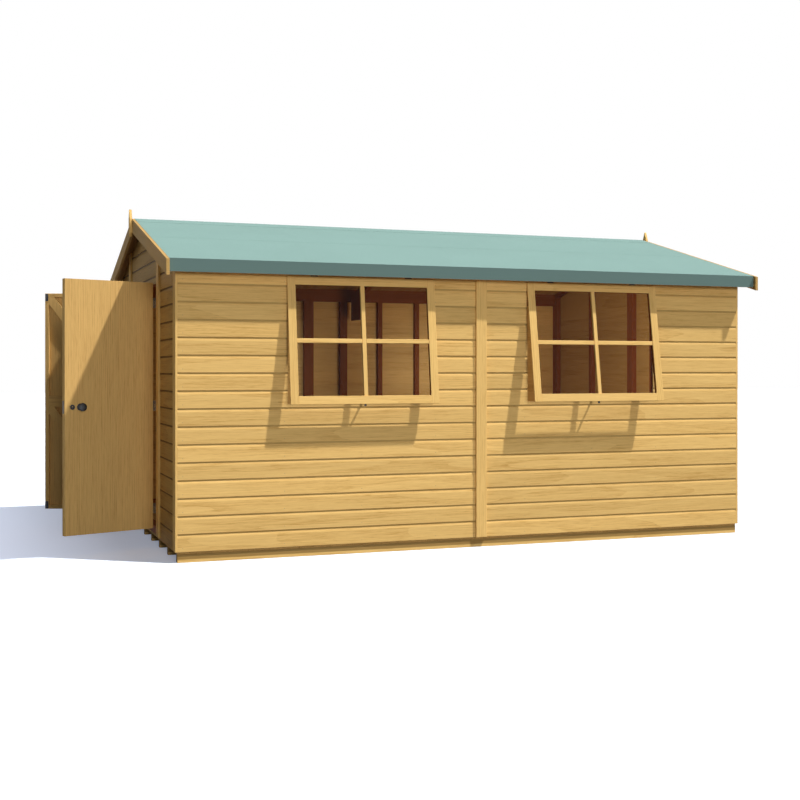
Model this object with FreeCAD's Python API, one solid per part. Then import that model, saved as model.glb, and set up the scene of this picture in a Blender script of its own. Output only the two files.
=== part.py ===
import FreeCAD, Part

import math
import os

# Garden shed, 4.45 m x 3.05 m, with double doors in one gable end and two
# top-hung windows in the long front wall. Millimetres, Z up. The front wall
# faces -Y and the door gable faces -X.

# Overall sizes
LENGTH = 4445.0
DEPTH = 3046.0
EAVE_Z = 2026.0
ROOF_PITCH_DEG = 15.22
EAVE_OVERHANG = 120.0
GABLE_OVERHANG = 60.0

# Floor
BEARER_WIDTH = 45.0
BEARER_HEIGHT = 57.0
BEARER_COUNT = 9
DECK_THICK = 16.0
FLOOR_INSET = 12.0

# Walls
CLAD = 12.0
STRIP = 16.0
STUD = 45.0
PANEL_GAP = 1.0
CORNER_STRIP_WIDTH = 100.0
JOINT_STRIP_WIDTH = 84.0
BACK_HEAD_Z = 1940.0
BACK_JOINT_SHARE = 0.398
BACK_NEAR_BAYS = 4
BACK_FAR_BAYS = 6
BACK_POST_WIDTH = 70.0
BACK_POST_OFFSET = 142.5

# Roof
FELT = 3.0
ROOF_BOARD = 12.0
FELT_FOLD = 88.0
FASCIA_THICK = 16.0
EAVES_BATTEN = 30.0
PURLIN_WIDTH = 45.0
PURLIN_DEPTH = 58.0
PURLINS_PER_SLOPE = 2
BARGE_THICK = 22.0
BARGE_WIDTH = 103.0
BARGE_PROJECTION = 27.0
FINIAL_WIDTH = 60.0
FINIAL_THICK = 20.0
FINIAL_HEIGHT = 215.0
FINIAL_RISE = 72.0
FINIAL_POINT = 76.0
TRUSS_WIDTH = 45.0
TRUSS_DEPTH = 70.0
GUSSET_THICK = 12.0
GUSSET_HALF = 280.0
GUSSET_DEPTH = 210.0
KNEE_REACH = 310.0
KNEE_DEPTH = 238.0

# Windows
WINDOW_INNER_PIER = 377.5
SASH_WIDTH = 1088.0
SASH_HEIGHT = 888.0
SASH_THICK = 28.0
SASH_FRAME = 58.0
LEFT_SASH_OPEN_DEG = 6.5
RIGHT_SASH_OPEN_DEG = 8.5
SASH_GAP = 4.0
WINDOW_TOP = 1928.0
SASH_LAP = 8.0
SASH_PROUD = 10.0
PANE_THICK = 4.0
PANE_LAP = 10.0
SASH_HINGE_SHARE = 0.32
SASH_HINGE_LENGTH = 50.0
SASH_HINGE_HEIGHT = 28.0
STAY_WIDTH = 16.0
STAY_THICK = 4.0
STAY_BRACKET_DROP = 12.0
STAY_BRACKET_RISE = 40.0
STAY_INSIDE = 18.0

# Doors
DOOR_OPEN_DEG = 110.0
DOORWAY_HALF = 693.0
DOORWAY_TOP = 1932.0
THRESHOLD_HEIGHT = 55.0
LEAF_GAP = 6.0
LEAF_BOARD = 12.0
LEAF_FRAME = 28.0
LEAF_PROUD = 6.0
LEAF_TOP_GAP = 5.0
MEETING_GAP = 6.0
LEDGE_WIDTH = 95.0
STILE_WIDTH = 32.0
BRACE_WIDTH = 70.0

# Door furniture
PIN_OUT = 14.0
PIN_RADIUS = 2.0
BARREL_RADIUS = 5.0
BARREL_CLEARANCE = 0.3
HINGE_LENGTH = 75.0
HINGE_PLATE = 2.0
HINGE_COUNT = 3
HINGE_FROM_END = 110.0
HINGE_PLAY = 0.5
HINGE_ON_LEAF = 20.0
KNOB_RADIUS = 29.0
KNOB_REACH = 61.0
KNOB_PLATE = 5.0
KNOB_FROM_EDGE = 115.0
HANDLE_Z = 1030.0
ESCUTCHEON_RADIUS = 18.0
ESCUTCHEON_FROM_EDGE = 56.0
ESCUTCHEON_THICK = 5.0
KEYHOLE_RADIUS = 3.5
KEYHOLE_SLOT = 3.6
KEYHOLE_RISE = 4.0
KEYHOLE_DROP = 8.0
LOCK_CASE_THICK = 12.0
LOCK_CASE_DEPTH = 70.0
LOCK_CASE_HEIGHT = 60.0
LOCK_PLATE_THICK = 2.0
LOCK_PLATE_WIDTH = 18.0
LOCK_PLATE_HEIGHT = 90.0
BOLT_LENGTH = 60.0
BOLT_INSET = 4.0
BOLT_RADIUS = 5.0
BOLT_PLATE_WIDTH = 24.0
BOLT_PLATE_THICK = 3.0
BOLT_GRIP_RADIUS = 3.0
BOLT_GRIP_REACH = 14.0
KEEP_PLATE_THICK = 2.0

# Derived sizes
TAN = math.tan(math.radians(ROOF_PITCH_DEG))
COS = math.cos(math.radians(ROOF_PITCH_DEG))
MID_Y = DEPTH / 2.0
MID_X = LENGTH / 2.0
BACK_JOINT_X = BACK_JOINT_SHARE * LENGTH
BACK_POST_X = MID_X - BACK_POST_OFFSET
RIDGE_Z = EAVE_Z + TAN * (MID_Y + EAVE_OVERHANG)
DECK_TOP = BEARER_HEIGHT + DECK_THICK
BOARD_DROP = FELT / COS
UNDER_DROP = (FELT + ROOF_BOARD) / COS
FRAME_OUT_X = STRIP + CLAD
FRAME_IN_X = STRIP + CLAD + STUD
FRAME_IN_Y = CLAD + STUD
RAIL_TOP = DECK_TOP + STUD
OPENING_WIDTH = SASH_WIDTH - 2.0 * SASH_LAP
WINDOW_CENTRE = MID_X - WINDOW_INNER_PIER - OPENING_WIDTH / 2.0
SASH_TOP = WINDOW_TOP + SASH_LAP
OPENING_BOTTOM = SASH_TOP - SASH_HEIGHT + SASH_LAP
DOORWAY_LOW_Y = MID_Y - DOORWAY_HALF
THRESHOLD_TOP = DECK_TOP + THRESHOLD_HEIGHT
LEAF_BOTTOM = THRESHOLD_TOP + LEAF_TOP_GAP
LEAF_TOP = DOORWAY_TOP - LEAF_TOP_GAP
LEAF_OUT_X = -LEAF_PROUD
PIN_X = -PIN_OUT
PIN_Y = DOORWAY_LOW_Y + LEAF_GAP / 2.0
LEAF_LOW_Y = DOORWAY_LOW_Y + LEAF_GAP
LEAF_HIGH_Y = MID_Y - MEETING_GAP / 2.0
LEAF_IN_X = LEAF_OUT_X + LEAF_BOARD + LEAF_FRAME
OVERCUT = 1.0


def roof_z(y, drop=0.0):
    """Height of the roof's top face at y, less a vertical drop."""
    return RIDGE_Z - TAN * abs(y - MID_Y) - drop


def box(x0, x1, y0, y1, z0, z1):
    """Axis-aligned block between two corners."""
    corner = FreeCAD.Vector(x0, y0, z0)
    return Part.makeBox(x1 - x0, y1 - y0, z1 - z0, corner)


def prism_x(points_yz, x0, x1):
    """Block with a cross-section in Y and Z, run along X."""
    points = [FreeCAD.Vector(x0, y, z) for y, z in points_yz]
    points.append(points[0])
    face = Part.Face(Part.makePolygon(points))
    return face.extrude(FreeCAD.Vector(x1 - x0, 0, 0))


def mirror_y(shape):
    """Copy on the other side of the ridge plane."""
    base = FreeCAD.Vector(0, MID_Y, 0)
    return shape.mirror(base, FreeCAD.Vector(0, 1, 0))


def mirror_x(shape):
    """Copy at the other end of the shed."""
    base = FreeCAD.Vector(MID_X, 0, 0)
    return shape.mirror(base, FreeCAD.Vector(1, 0, 0))


def under_roof(y0, y1, z0, x0, x1, drop=UNDER_DROP):
    """Block whose top follows the roof boards' underside on one slope."""
    points = [(y0, z0), (y1, z0), (y1, roof_z(y1, drop)), (y0, roof_z(y0, drop))]
    return prism_x(points, x0, x1)


def across_ridge(y0, y1, z0, x0, x1, drop=UNDER_DROP):
    """Block under both slopes, with the ridge in its top edge."""
    points = [(y0, z0), (y1, z0), (y1, roof_z(y1, drop))]
    points.append((MID_Y, roof_z(MID_Y, drop)))
    points.append((y0, roof_z(y0, drop)))
    return prism_x(points, x0, x1)


def floor_bearers():
    """Lengthwise bearers that the shed stands on."""
    first = FLOOR_INSET
    last = DEPTH - FLOOR_INSET - BEARER_WIDTH
    step = (last - first) / (BEARER_COUNT - 1)
    bearers = []
    for index in range(BEARER_COUNT):
        y = first + step * index
        bearers.append(box(STRIP, LENGTH - STRIP, y, y + BEARER_WIDTH, 0.0, BEARER_HEIGHT))
    return bearers


def floor_deck():
    """Boarded floor on the bearers."""
    return [box(STRIP, LENGTH - STRIP, FLOOR_INSET, DEPTH - FLOOR_INSET, BEARER_HEIGHT, DECK_TOP)]


def front_wall_panel():
    """Left front wall panel with its window opening."""
    panel = under_roof(0.0, CLAD, DECK_TOP, STRIP, MID_X - PANEL_GAP / 2.0)
    x0 = WINDOW_CENTRE - OPENING_WIDTH / 2.0
    cutter = box(x0, x0 + OPENING_WIDTH, -CLAD, 2.0 * CLAD, OPENING_BOTTOM, WINDOW_TOP)
    return panel.cut(cutter)


def back_wall_panels():
    """Two back wall panels of unequal length."""
    half = PANEL_GAP / 2.0
    near = under_roof(0.0, CLAD, DECK_TOP, STRIP, BACK_JOINT_X - half)
    far = under_roof(0.0, CLAD, DECK_TOP, BACK_JOINT_X + half, LENGTH - STRIP)
    return [mirror_y(near), mirror_y(far)]


def gable_panel():
    """Front half of the plain gable wall at the far end."""
    low = under_roof(CLAD, MID_Y - PANEL_GAP / 2.0, DECK_TOP, STRIP, STRIP + CLAD)
    return mirror_x(low)


def door_wall_side():
    """Cladding between the front corner and the doorway."""
    return under_roof(CLAD, DOORWAY_LOW_Y, DECK_TOP, STRIP, STRIP + CLAD)


def door_wall_header():
    """Cladding over the doorway, up to the roof."""
    return across_ridge(DOORWAY_LOW_Y, DEPTH - DOORWAY_LOW_Y, DOORWAY_TOP, STRIP, STRIP + CLAD)


def front_rails():
    """Bottom, sill and top rails of the front wall's two panels."""
    x0 = FRAME_OUT_X
    x1 = MID_X - PANEL_GAP / 2.0
    rails = [box(x0, x1, CLAD, FRAME_IN_Y, DECK_TOP, RAIL_TOP)]
    rails.append(under_roof(CLAD, FRAME_IN_Y, WINDOW_TOP, x0, x1))
    sill0 = WINDOW_CENTRE - OPENING_WIDTH / 2.0
    sill1 = WINDOW_CENTRE + OPENING_WIDTH / 2.0
    rails.append(box(sill0, sill1, CLAD, FRAME_IN_Y, OPENING_BOTTOM - STUD, OPENING_BOTTOM))
    return rails + [mirror_x(rail) for rail in rails]


def front_studs():
    """Uprights of the front wall's two panels."""
    opening0 = WINDOW_CENTRE - OPENING_WIDTH / 2.0
    opening1 = WINDOW_CENTRE + OPENING_WIDTH / 2.0
    full = [FRAME_OUT_X, opening0 - STUD, opening1, MID_X - PANEL_GAP / 2.0 - STUD]
    studs = []
    for x in full:
        studs.append(box(x, x + STUD, CLAD, FRAME_IN_Y, RAIL_TOP, WINDOW_TOP))
    middle = WINDOW_CENTRE - STUD / 2.0
    studs.append(box(middle, middle + STUD, CLAD, FRAME_IN_Y, RAIL_TOP, OPENING_BOTTOM - STUD))
    return studs + [mirror_x(stud) for stud in studs]


def back_rails():
    """Bottom and top rails of the back wall's two panels."""
    half = PANEL_GAP / 2.0
    rails = []
    for x0, x1 in ((FRAME_OUT_X, BACK_JOINT_X - half), (BACK_JOINT_X + half, LENGTH - FRAME_OUT_X)):
        rails.append(box(x0, x1, CLAD, FRAME_IN_Y, DECK_TOP, RAIL_TOP))
        rails.append(under_roof(CLAD, FRAME_IN_Y, BACK_HEAD_Z, x0, x1))
    return [mirror_y(rail) for rail in rails]


def back_studs():
    """Uprights of the back wall's two panels, with a wide post beside the truss."""
    last = BACK_JOINT_X - PANEL_GAP / 2.0 - STUD
    step = (last - FRAME_OUT_X) / BACK_NEAR_BAYS
    places = [(FRAME_OUT_X + step * index, STUD) for index in range(BACK_NEAR_BAYS + 1)]
    places.append((BACK_JOINT_X + PANEL_GAP / 2.0, STUD))
    places.append((BACK_POST_X, BACK_POST_WIDTH))
    step = (LENGTH - FRAME_OUT_X - STUD - BACK_POST_X) / BACK_FAR_BAYS
    for index in range(1, BACK_FAR_BAYS + 1):
        places.append((BACK_POST_X + step * index, STUD))
    studs = []
    for x, width in places:
        studs.append(mirror_y(box(x, x + width, CLAD, FRAME_IN_Y, RAIL_TOP, BACK_HEAD_Z)))
    return studs


def gable_rafter(y1):
    """Sloping top rail of a gable panel at the door end."""
    deep = UNDER_DROP + STUD / COS
    points = [(FRAME_IN_Y, roof_z(FRAME_IN_Y, deep)), (y1, roof_z(y1, deep))]
    points.append((y1, roof_z(y1, UNDER_DROP)))
    points.append((FRAME_IN_Y, roof_z(FRAME_IN_Y, UNDER_DROP)))
    return prism_x(points, FRAME_OUT_X, FRAME_IN_X)


def gable_stud(y0, z1=None):
    """Upright of a gable panel at the door end, cut to the rafter above it."""
    if z1 is not None:
        return box(FRAME_OUT_X, FRAME_IN_X, y0, y0 + STUD, RAIL_TOP, z1)
    drop = UNDER_DROP + STUD / COS
    return under_roof(y0, y0 + STUD, RAIL_TOP, FRAME_OUT_X, FRAME_IN_X, drop)


def door_wall_rails():
    """Bottom rails, rafters and doorway head of the door gable."""
    x0 = FRAME_OUT_X
    x1 = FRAME_IN_X
    rails = [box(x0, x1, FRAME_IN_Y, DOORWAY_LOW_Y, DECK_TOP, RAIL_TOP)]
    rails.append(gable_rafter(MID_Y - PANEL_GAP / 2.0))
    rails = rails + [mirror_y(rail) for rail in rails]
    rails.append(box(x0, x1, DOORWAY_LOW_Y, DEPTH - DOORWAY_LOW_Y, DOORWAY_TOP, DOORWAY_TOP + STUD))
    return rails


def door_wall_studs():
    """Uprights of the door gable."""
    drop = UNDER_DROP + STUD / COS
    studs = [gable_stud(FRAME_IN_Y), gable_stud(DOORWAY_LOW_Y - STUD)]
    studs = studs + [mirror_y(stud) for stud in studs]
    low = MID_Y - STUD / 2.0
    high = MID_Y + STUD / 2.0
    king = across_ridge(low, high, DOORWAY_TOP + STUD, FRAME_OUT_X, FRAME_IN_X, drop)
    studs.append(king)
    return studs


def far_gable_rails():
    """Bottom rails and rafters of the plain gable."""
    y1 = MID_Y - PANEL_GAP / 2.0
    rails = [box(FRAME_OUT_X, FRAME_IN_X, FRAME_IN_Y, y1, DECK_TOP, RAIL_TOP)]
    rails.append(gable_rafter(y1))
    rails = rails + [mirror_y(rail) for rail in rails]
    return [mirror_x(rail) for rail in rails]


def far_gable_studs():
    """Uprights of the plain gable: corner, middle and joint of each half."""
    y1 = MID_Y - PANEL_GAP / 2.0
    middle = (FRAME_IN_Y + y1 - STUD) / 2.0
    studs = [gable_stud(FRAME_IN_Y), gable_stud(middle), gable_stud(y1 - STUD)]
    studs = studs + [mirror_y(stud) for stud in studs]
    return [mirror_x(stud) for stud in studs]


def corner_strips():
    """Upright strips over the four corners, on the gable faces."""
    strip = under_roof(0.0, CORNER_STRIP_WIDTH, DECK_TOP, 0.0, STRIP)
    strips = [strip, mirror_y(strip)]
    return strips + [mirror_x(one) for one in strips]


def door_side_strips():
    """Upright strips that edge the doorway and run up to the roof."""
    width = CORNER_STRIP_WIDTH
    strip = under_roof(DOORWAY_LOW_Y - width, DOORWAY_LOW_Y, DECK_TOP, 0.0, STRIP)
    return [strip, mirror_y(strip)]


def panel_joint_strips():
    """Strips over the panel joints of front wall, back wall and far gable."""
    half = JOINT_STRIP_WIDTH / 2.0
    front = under_roof(-STRIP, 0.0, DECK_TOP, MID_X - half, MID_X + half)
    back = under_roof(-STRIP, 0.0, DECK_TOP, BACK_JOINT_X - half, BACK_JOINT_X + half)
    gable = across_ridge(MID_Y - half, MID_Y + half, DECK_TOP, 0.0, STRIP)
    return [front, mirror_y(back), mirror_x(gable)]


def door_threshold():
    """Sill rail across the bottom of the doorway."""
    y0 = DOORWAY_LOW_Y
    return [box(STRIP, FRAME_IN_X, y0, DEPTH - y0, DECK_TOP, THRESHOLD_TOP)]


def roof_slab(drop_top, drop_low):
    """One slope of a roof layer, between two vertical drops."""
    y0 = -EAVE_OVERHANG + FELT
    points = [(y0, roof_z(y0, drop_low)), (MID_Y, roof_z(MID_Y, drop_low))]
    points.append((MID_Y, roof_z(MID_Y, drop_top)))
    points.append((y0, roof_z(y0, drop_top)))
    return prism_x(points, -GABLE_OVERHANG, LENGTH + GABLE_OVERHANG)


def roof_felt():
    """Felt on the front slope, folded down over the fascia."""
    y0 = -EAVE_OVERHANG
    y1 = -EAVE_OVERHANG + FELT
    low = roof_z(y0) - FELT_FOLD
    points = [(y0, low), (y1, low), (y1, roof_z(y1, BOARD_DROP))]
    points.append((MID_Y, roof_z(MID_Y, BOARD_DROP)))
    points.append((MID_Y, roof_z(MID_Y)))
    points.append((y0, roof_z(y0)))
    return prism_x(points, -GABLE_OVERHANG, LENGTH + GABLE_OVERHANG)


def fascia_boards():
    """Boards under the eaves' edges, behind the felt."""
    y0 = -EAVE_OVERHANG + FELT
    low = roof_z(-EAVE_OVERHANG) - FELT_FOLD
    board = under_roof(y0, y0 + FASCIA_THICK, low, -GABLE_OVERHANG, LENGTH + GABLE_OVERHANG)
    return [board, mirror_y(board)]


def eaves_battens():
    """Battens that tie each fascia to the roof boards."""
    y0 = -EAVE_OVERHANG + FELT + FASCIA_THICK
    y1 = y0 + EAVES_BATTEN
    points = [(y0, roof_z(y0, UNDER_DROP) - EAVES_BATTEN)]
    points.append((y1, roof_z(y1, UNDER_DROP) - EAVES_BATTEN))
    points.append((y1, roof_z(y1, UNDER_DROP)))
    points.append((y0, roof_z(y0, UNDER_DROP)))
    batten = prism_x(points, -GABLE_OVERHANG, LENGTH + GABLE_OVERHANG)
    return [batten, mirror_y(batten)]


def roof_purlins():
    """Lengthwise purlins under the roof boards."""
    purlins = []
    span = MID_Y - FRAME_IN_Y
    for index in range(PURLINS_PER_SLOPE):
        y0 = FRAME_IN_Y + span * (index + 0.75) / PURLINS_PER_SLOPE
        y1 = y0 + PURLIN_WIDTH * COS
        deep = UNDER_DROP + PURLIN_DEPTH / COS
        points = [(y0, roof_z(y0, deep)), (y1, roof_z(y1, deep))]
        points.append((y1, roof_z(y1, UNDER_DROP)))
        points.append((y0, roof_z(y0, UNDER_DROP)))
        purlins.append(prism_x(points, FRAME_IN_X, LENGTH - FRAME_IN_X))
    return purlins + [mirror_y(purlin) for purlin in purlins]


def roof_truss():
    """Middle pair of rafters with a collar, in one fused piece."""
    x0 = MID_X - TRUSS_WIDTH / 2.0
    x1 = MID_X + TRUSS_WIDTH / 2.0
    top = UNDER_DROP + PURLIN_DEPTH / COS
    low = top + TRUSS_DEPTH / COS
    y0 = FRAME_IN_Y
    y1 = DEPTH - FRAME_IN_Y
    points = [(y0, roof_z(y0, low)), (MID_Y, roof_z(MID_Y, low)), (y1, roof_z(y1, low))]
    points.append((y1, roof_z(y1, top)))
    points.append((MID_Y, roof_z(MID_Y, top)))
    points.append((y0, roof_z(y0, top)))
    return [prism_x(points, x0, x1)]


def truss_gussets():
    """Plates on one face of the truss: one at the apex and one at each foot."""
    x1 = MID_X - TRUSS_WIDTH / 2.0
    x0 = x1 - GUSSET_THICK
    top = UNDER_DROP + PURLIN_DEPTH / COS
    low = roof_z(MID_Y, top) - GUSSET_DEPTH
    left = MID_Y - GUSSET_HALF
    right = MID_Y + GUSSET_HALF
    points = [(left, low), (right, low), (right, roof_z(right, top))]
    points.append((MID_Y, roof_z(MID_Y, top)))
    points.append((left, roof_z(left, top)))
    apex = prism_x(points, x0, x1)
    y0 = FRAME_IN_Y
    y1 = y0 + KNEE_REACH
    low = roof_z(y0, top) - KNEE_DEPTH
    foot = [(y0, low), (y1, low), (y1, roof_z(y1, top))]
    foot.append((y0, roof_z(y0, top)))
    knee = prism_x(foot, x0, x1)
    return [apex, knee, mirror_y(knee)]


def bargeboard():
    """Front-slope bargeboard at the door end."""
    y0 = -EAVE_OVERHANG - BARGE_PROJECTION
    y1 = MID_Y - PANEL_GAP / 2.0
    deep = BARGE_WIDTH / COS
    points = [(y0, roof_z(y0, deep)), (y1, roof_z(y1, deep)), (y1, roof_z(y1)), (y0, roof_z(y0))]
    return prism_x(points, -GABLE_OVERHANG - BARGE_THICK, -GABLE_OVERHANG)


def finial():
    """Pointed board over the bargeboards' meeting at the door end."""
    top = RIDGE_Z + FINIAL_RISE
    low = top - FINIAL_HEIGHT
    shoulder = top - FINIAL_POINT
    half = FINIAL_WIDTH / 2.0
    points = [(MID_Y - half, low + half), (MID_Y, low), (MID_Y + half, low + half)]
    points.append((MID_Y + half, shoulder))
    points.append((MID_Y, top))
    points.append((MID_Y - half, shoulder))
    x1 = -GABLE_OVERHANG - BARGE_THICK
    return prism_x(points, x1 - FINIAL_THICK, x1)


def tilt_sash(shape, open_deg):
    """Turn a shut sash piece about its top edge to the open position."""
    turned = shape.copy()
    centre = FreeCAD.Vector(0, -SASH_PROUD, SASH_TOP)
    turned.rotate(centre, FreeCAD.Vector(1, 0, 0), -open_deg)
    return turned


def window_sash(open_deg):
    """Left sash, open at the bottom: its face laps the wall, its back fits the opening."""
    x0 = WINDOW_CENTRE - SASH_WIDTH / 2.0
    x1 = x0 + SASH_WIDTH
    z1 = SASH_TOP
    z0 = z1 - SASH_HEIGHT
    y0 = -SASH_PROUD
    y1 = y0 + SASH_THICK
    inset = SASH_LAP + SASH_GAP
    back = box(x0 + inset, x1 - inset, 0.0, y1, z0 + inset, z1 - inset)
    frame = box(x0, x1, y0, 0.0, z0, z1).fuse(back)
    bar = SASH_FRAME
    inner = box(x0 + bar, x1 - bar, y0 - OVERCUT, y1 + OVERCUT, z0 + bar, z1 - bar)
    lap = SASH_FRAME - PANE_LAP
    slot0 = y0 + (SASH_THICK - PANE_THICK) / 2.0
    slot = box(x0 + lap, x1 - lap, slot0, slot0 + PANE_THICK, z0 + lap, z1 - lap)
    return tilt_sash(frame.cut(inner).cut(slot).removeSplitter(), open_deg)


def window_pane(open_deg):
    """Clear pane that fills the rebate of the left opening's sash."""
    lap = SASH_FRAME - PANE_LAP
    x0 = WINDOW_CENTRE - SASH_WIDTH / 2.0 + lap
    x1 = WINDOW_CENTRE + SASH_WIDTH / 2.0 - lap
    z1 = SASH_TOP - lap
    z0 = SASH_TOP - SASH_HEIGHT + lap
    y0 = -SASH_PROUD + (SASH_THICK - PANE_THICK) / 2.0
    return tilt_sash(box(x0, x1, y0, y0 + PANE_THICK, z0, z1), open_deg)


def window_stay(open_deg):
    """Stay between the left opening's sill and its open sash."""
    x0 = WINDOW_CENTRE - STAY_WIDTH / 2.0
    x1 = WINDOW_CENTRE + STAY_WIDTH / 2.0
    inner = SASH_THICK - SASH_PROUD
    low = SASH_TOP - SASH_HEIGHT
    z0 = low - STAY_BRACKET_DROP
    shut = box(x0, x1, inner, inner + STAY_THICK, z0, low + STAY_BRACKET_RISE)
    bracket = tilt_sash(shut, open_deg)
    y0 = bracket.BoundBox.YMin + STAY_THICK / 2.0
    z0 = OPENING_BOTTOM
    bar = box(x0, x1, y0, FRAME_IN_Y + STAY_INSIDE, z0, z0 + STAY_THICK)
    return bar.fuse(bracket).removeSplitter()


def window_hinges():
    """Two small hinges over each sash, cranked from its top edge to the wall's face."""
    hinges = []
    for offset in (-SASH_HINGE_SHARE, SASH_HINGE_SHARE):
        x0 = WINDOW_CENTRE + SASH_WIDTH * offset - SASH_HINGE_LENGTH / 2.0
        y0 = -SASH_PROUD
        x1 = x0 + SASH_HINGE_LENGTH
        z0 = SASH_TOP + HINGE_PLATE
        arm = box(x0, x1, y0, 0.0, z0, z0 + HINGE_PLATE)
        leaf = box(x0, x1, -HINGE_PLATE, 0.0, z0, z0 + SASH_HINGE_HEIGHT)
        centre = FreeCAD.Vector(x0, y0, z0)
        roll = Part.makeCylinder(HINGE_PLATE, SASH_HINGE_LENGTH, centre, FreeCAD.Vector(1, 0, 0))
        hinges.append(arm.multiFuse([leaf, roll]).removeSplitter())
    return hinges + [mirror_x(hinge) for hinge in hinges]


def swing(shape):
    """Turn a shut front door piece about its pin to the open rest position."""
    turned = shape.copy()
    centre = FreeCAD.Vector(PIN_X, PIN_Y, 0)
    turned.rotate(centre, FreeCAD.Vector(0, 0, 1), DOOR_OPEN_DEG)
    return turned


def leaf_boards():
    """Boarding of the shut front leaf."""
    x0 = LEAF_OUT_X
    return box(x0, x0 + LEAF_BOARD, LEAF_LOW_Y, LEAF_HIGH_Y, LEAF_BOTTOM, LEAF_TOP)


def leaf_brace(z_low, z_high, x0, x1):
    """Diagonal brace between two ledges of the shut front leaf."""
    y0 = LEAF_LOW_Y + STILE_WIDTH
    y1 = LEAF_HIGH_Y - STILE_WIDTH
    length = math.hypot(y1 - y0, z_high - z_low)
    rise = BRACE_WIDTH * length / (y1 - y0)
    run = BRACE_WIDTH * length / (z_high - z_low)
    half_rise = rise / 2.0
    half_run = run / 2.0
    points = [(y0, z_low), (y0 + half_run, z_low), (y1, z_high - half_rise)]
    points.append((y1, z_high))
    points.append((y1 - half_run, z_high))
    points.append((y0, z_low + half_rise))
    return prism_x(points, x0, x1)


def leaf_frame():
    """Ledges, stiles and braces on the inner face of the shut front leaf."""
    x0 = LEAF_OUT_X + LEAF_BOARD
    x1 = x0 + LEAF_FRAME
    low = LEAF_BOTTOM
    top = LEAF_TOP
    middle = HANDLE_Z - LEDGE_WIDTH / 2.0
    frame = box(x0, x1, LEAF_LOW_Y, LEAF_LOW_Y + STILE_WIDTH, low, top)
    pieces = [box(x0, x1, LEAF_HIGH_Y - STILE_WIDTH, LEAF_HIGH_Y, low, top)]
    inner0 = LEAF_LOW_Y + STILE_WIDTH
    inner1 = LEAF_HIGH_Y - STILE_WIDTH
    pieces.append(box(x0, x1, inner0, inner1, low, low + STILE_WIDTH))
    pieces.append(box(x0, x1, inner0, inner1, top - STILE_WIDTH, top))
    pieces.append(box(x0, x1, inner0, inner1, middle, middle + LEDGE_WIDTH))
    pieces.append(leaf_brace(low + STILE_WIDTH, middle, x0, x1))
    pieces.append(leaf_brace(middle + LEDGE_WIDTH, top - STILE_WIDTH, x0, x1))
    return frame.multiFuse(pieces).removeSplitter()


def hinge_heights():
    """Lower ends of the door hinges."""
    low = LEAF_BOTTOM + HINGE_FROM_END
    high = LEAF_TOP - HINGE_FROM_END - HINGE_LENGTH
    step = (high - low) / (HINGE_COUNT - 1)
    return [low + step * index for index in range(HINGE_COUNT)]


def barrel(z0, z1, radius):
    """Round length of a hinge on the front door's pin axis."""
    base = FreeCAD.Vector(PIN_X, PIN_Y, z0)
    return Part.makeCylinder(radius, z1 - z0, base, FreeCAD.Vector(0, 0, 1))


def knuckle_notch(y0, y1, z0, z1):
    """Block that clears a hinge plate around the barrel between two heights."""
    x1 = PIN_X + BARREL_RADIUS + HINGE_PLATE
    return box(PIN_X - 2.0 * BARREL_RADIUS, x1, y0, y1, z0, z1)


def hinge_fixed():
    """Wall halves of the front door's hinges, with their pins."""
    halves = []
    third = HINGE_LENGTH / 3.0
    for z0 in hinge_heights():
        z1 = z0 + HINGE_LENGTH
        plate = box(PIN_X, STRIP + CLAD, DOORWAY_LOW_Y, DOORWAY_LOW_Y + HINGE_PLATE, z0, z1)
        low = z0 + third - HINGE_PLAY
        high = z1 - third + HINGE_PLAY
        body = plate.cut(knuckle_notch(DOORWAY_LOW_Y - OVERCUT, LEAF_LOW_Y, low, high))
        pieces = [barrel(z0, low, BARREL_RADIUS)]
        pieces.append(barrel(high, z1, BARREL_RADIUS))
        pieces.append(barrel(z0, z1, PIN_RADIUS))
        halves.append(body.multiFuse(pieces).removeSplitter())
    return halves


def hinge_moving():
    """Leaf halves of the shut front door's hinges."""
    halves = []
    third = HINGE_LENGTH / 3.0
    for z0 in hinge_heights():
        z1 = z0 + HINGE_LENGTH
        x1 = LEAF_OUT_X + LEAF_BOARD + HINGE_ON_LEAF
        plate = box(PIN_X, x1, LEAF_LOW_Y - HINGE_PLATE, LEAF_LOW_Y, z0, z1)
        low = z0 + third + HINGE_PLAY
        high = z1 - third - HINGE_PLAY
        y0 = LEAF_LOW_Y - BARREL_RADIUS
        y1 = LEAF_LOW_Y + OVERCUT
        body = plate.cut(knuckle_notch(y0, y1, z0 - OVERCUT, low))
        body = body.cut(knuckle_notch(y0, y1, high, z1 + OVERCUT))
        tube = barrel(low, high, BARREL_RADIUS)
        body = body.fuse(tube)
        bore = barrel(z0, z1, PIN_RADIUS + BARREL_CLEARANCE)
        halves.append(body.cut(bore).removeSplitter())
    return halves


def door_knob():
    """Round knob on a plate, on the near leaf's outer face, shut position."""
    y = LEAF_HIGH_Y - KNOB_FROM_EDGE
    radius = KNOB_RADIUS
    reach = KNOB_REACH
    points = [(0.0, 0.0), (0.86 * radius, 0.0), (0.86 * radius, KNOB_PLATE)]
    points.append((0.42 * radius, 0.13 * reach))
    points.append((0.36 * radius, 0.36 * reach))
    points.append((0.80 * radius, 0.49 * reach))
    points.append((radius, 0.69 * reach))
    points.append((0.92 * radius, 0.85 * reach))
    points.append((0.55 * radius, 0.97 * reach))
    points.append((0.0, reach))
    outline = [FreeCAD.Vector(LEAF_OUT_X - out, y + r, HANDLE_Z) for r, out in points]
    outline.append(outline[0])
    face = Part.Face(Part.makePolygon(outline))
    axis_base = FreeCAD.Vector(LEAF_OUT_X, y, HANDLE_Z)
    return face.revolve(axis_base, FreeCAD.Vector(1, 0, 0), 360)


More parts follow.
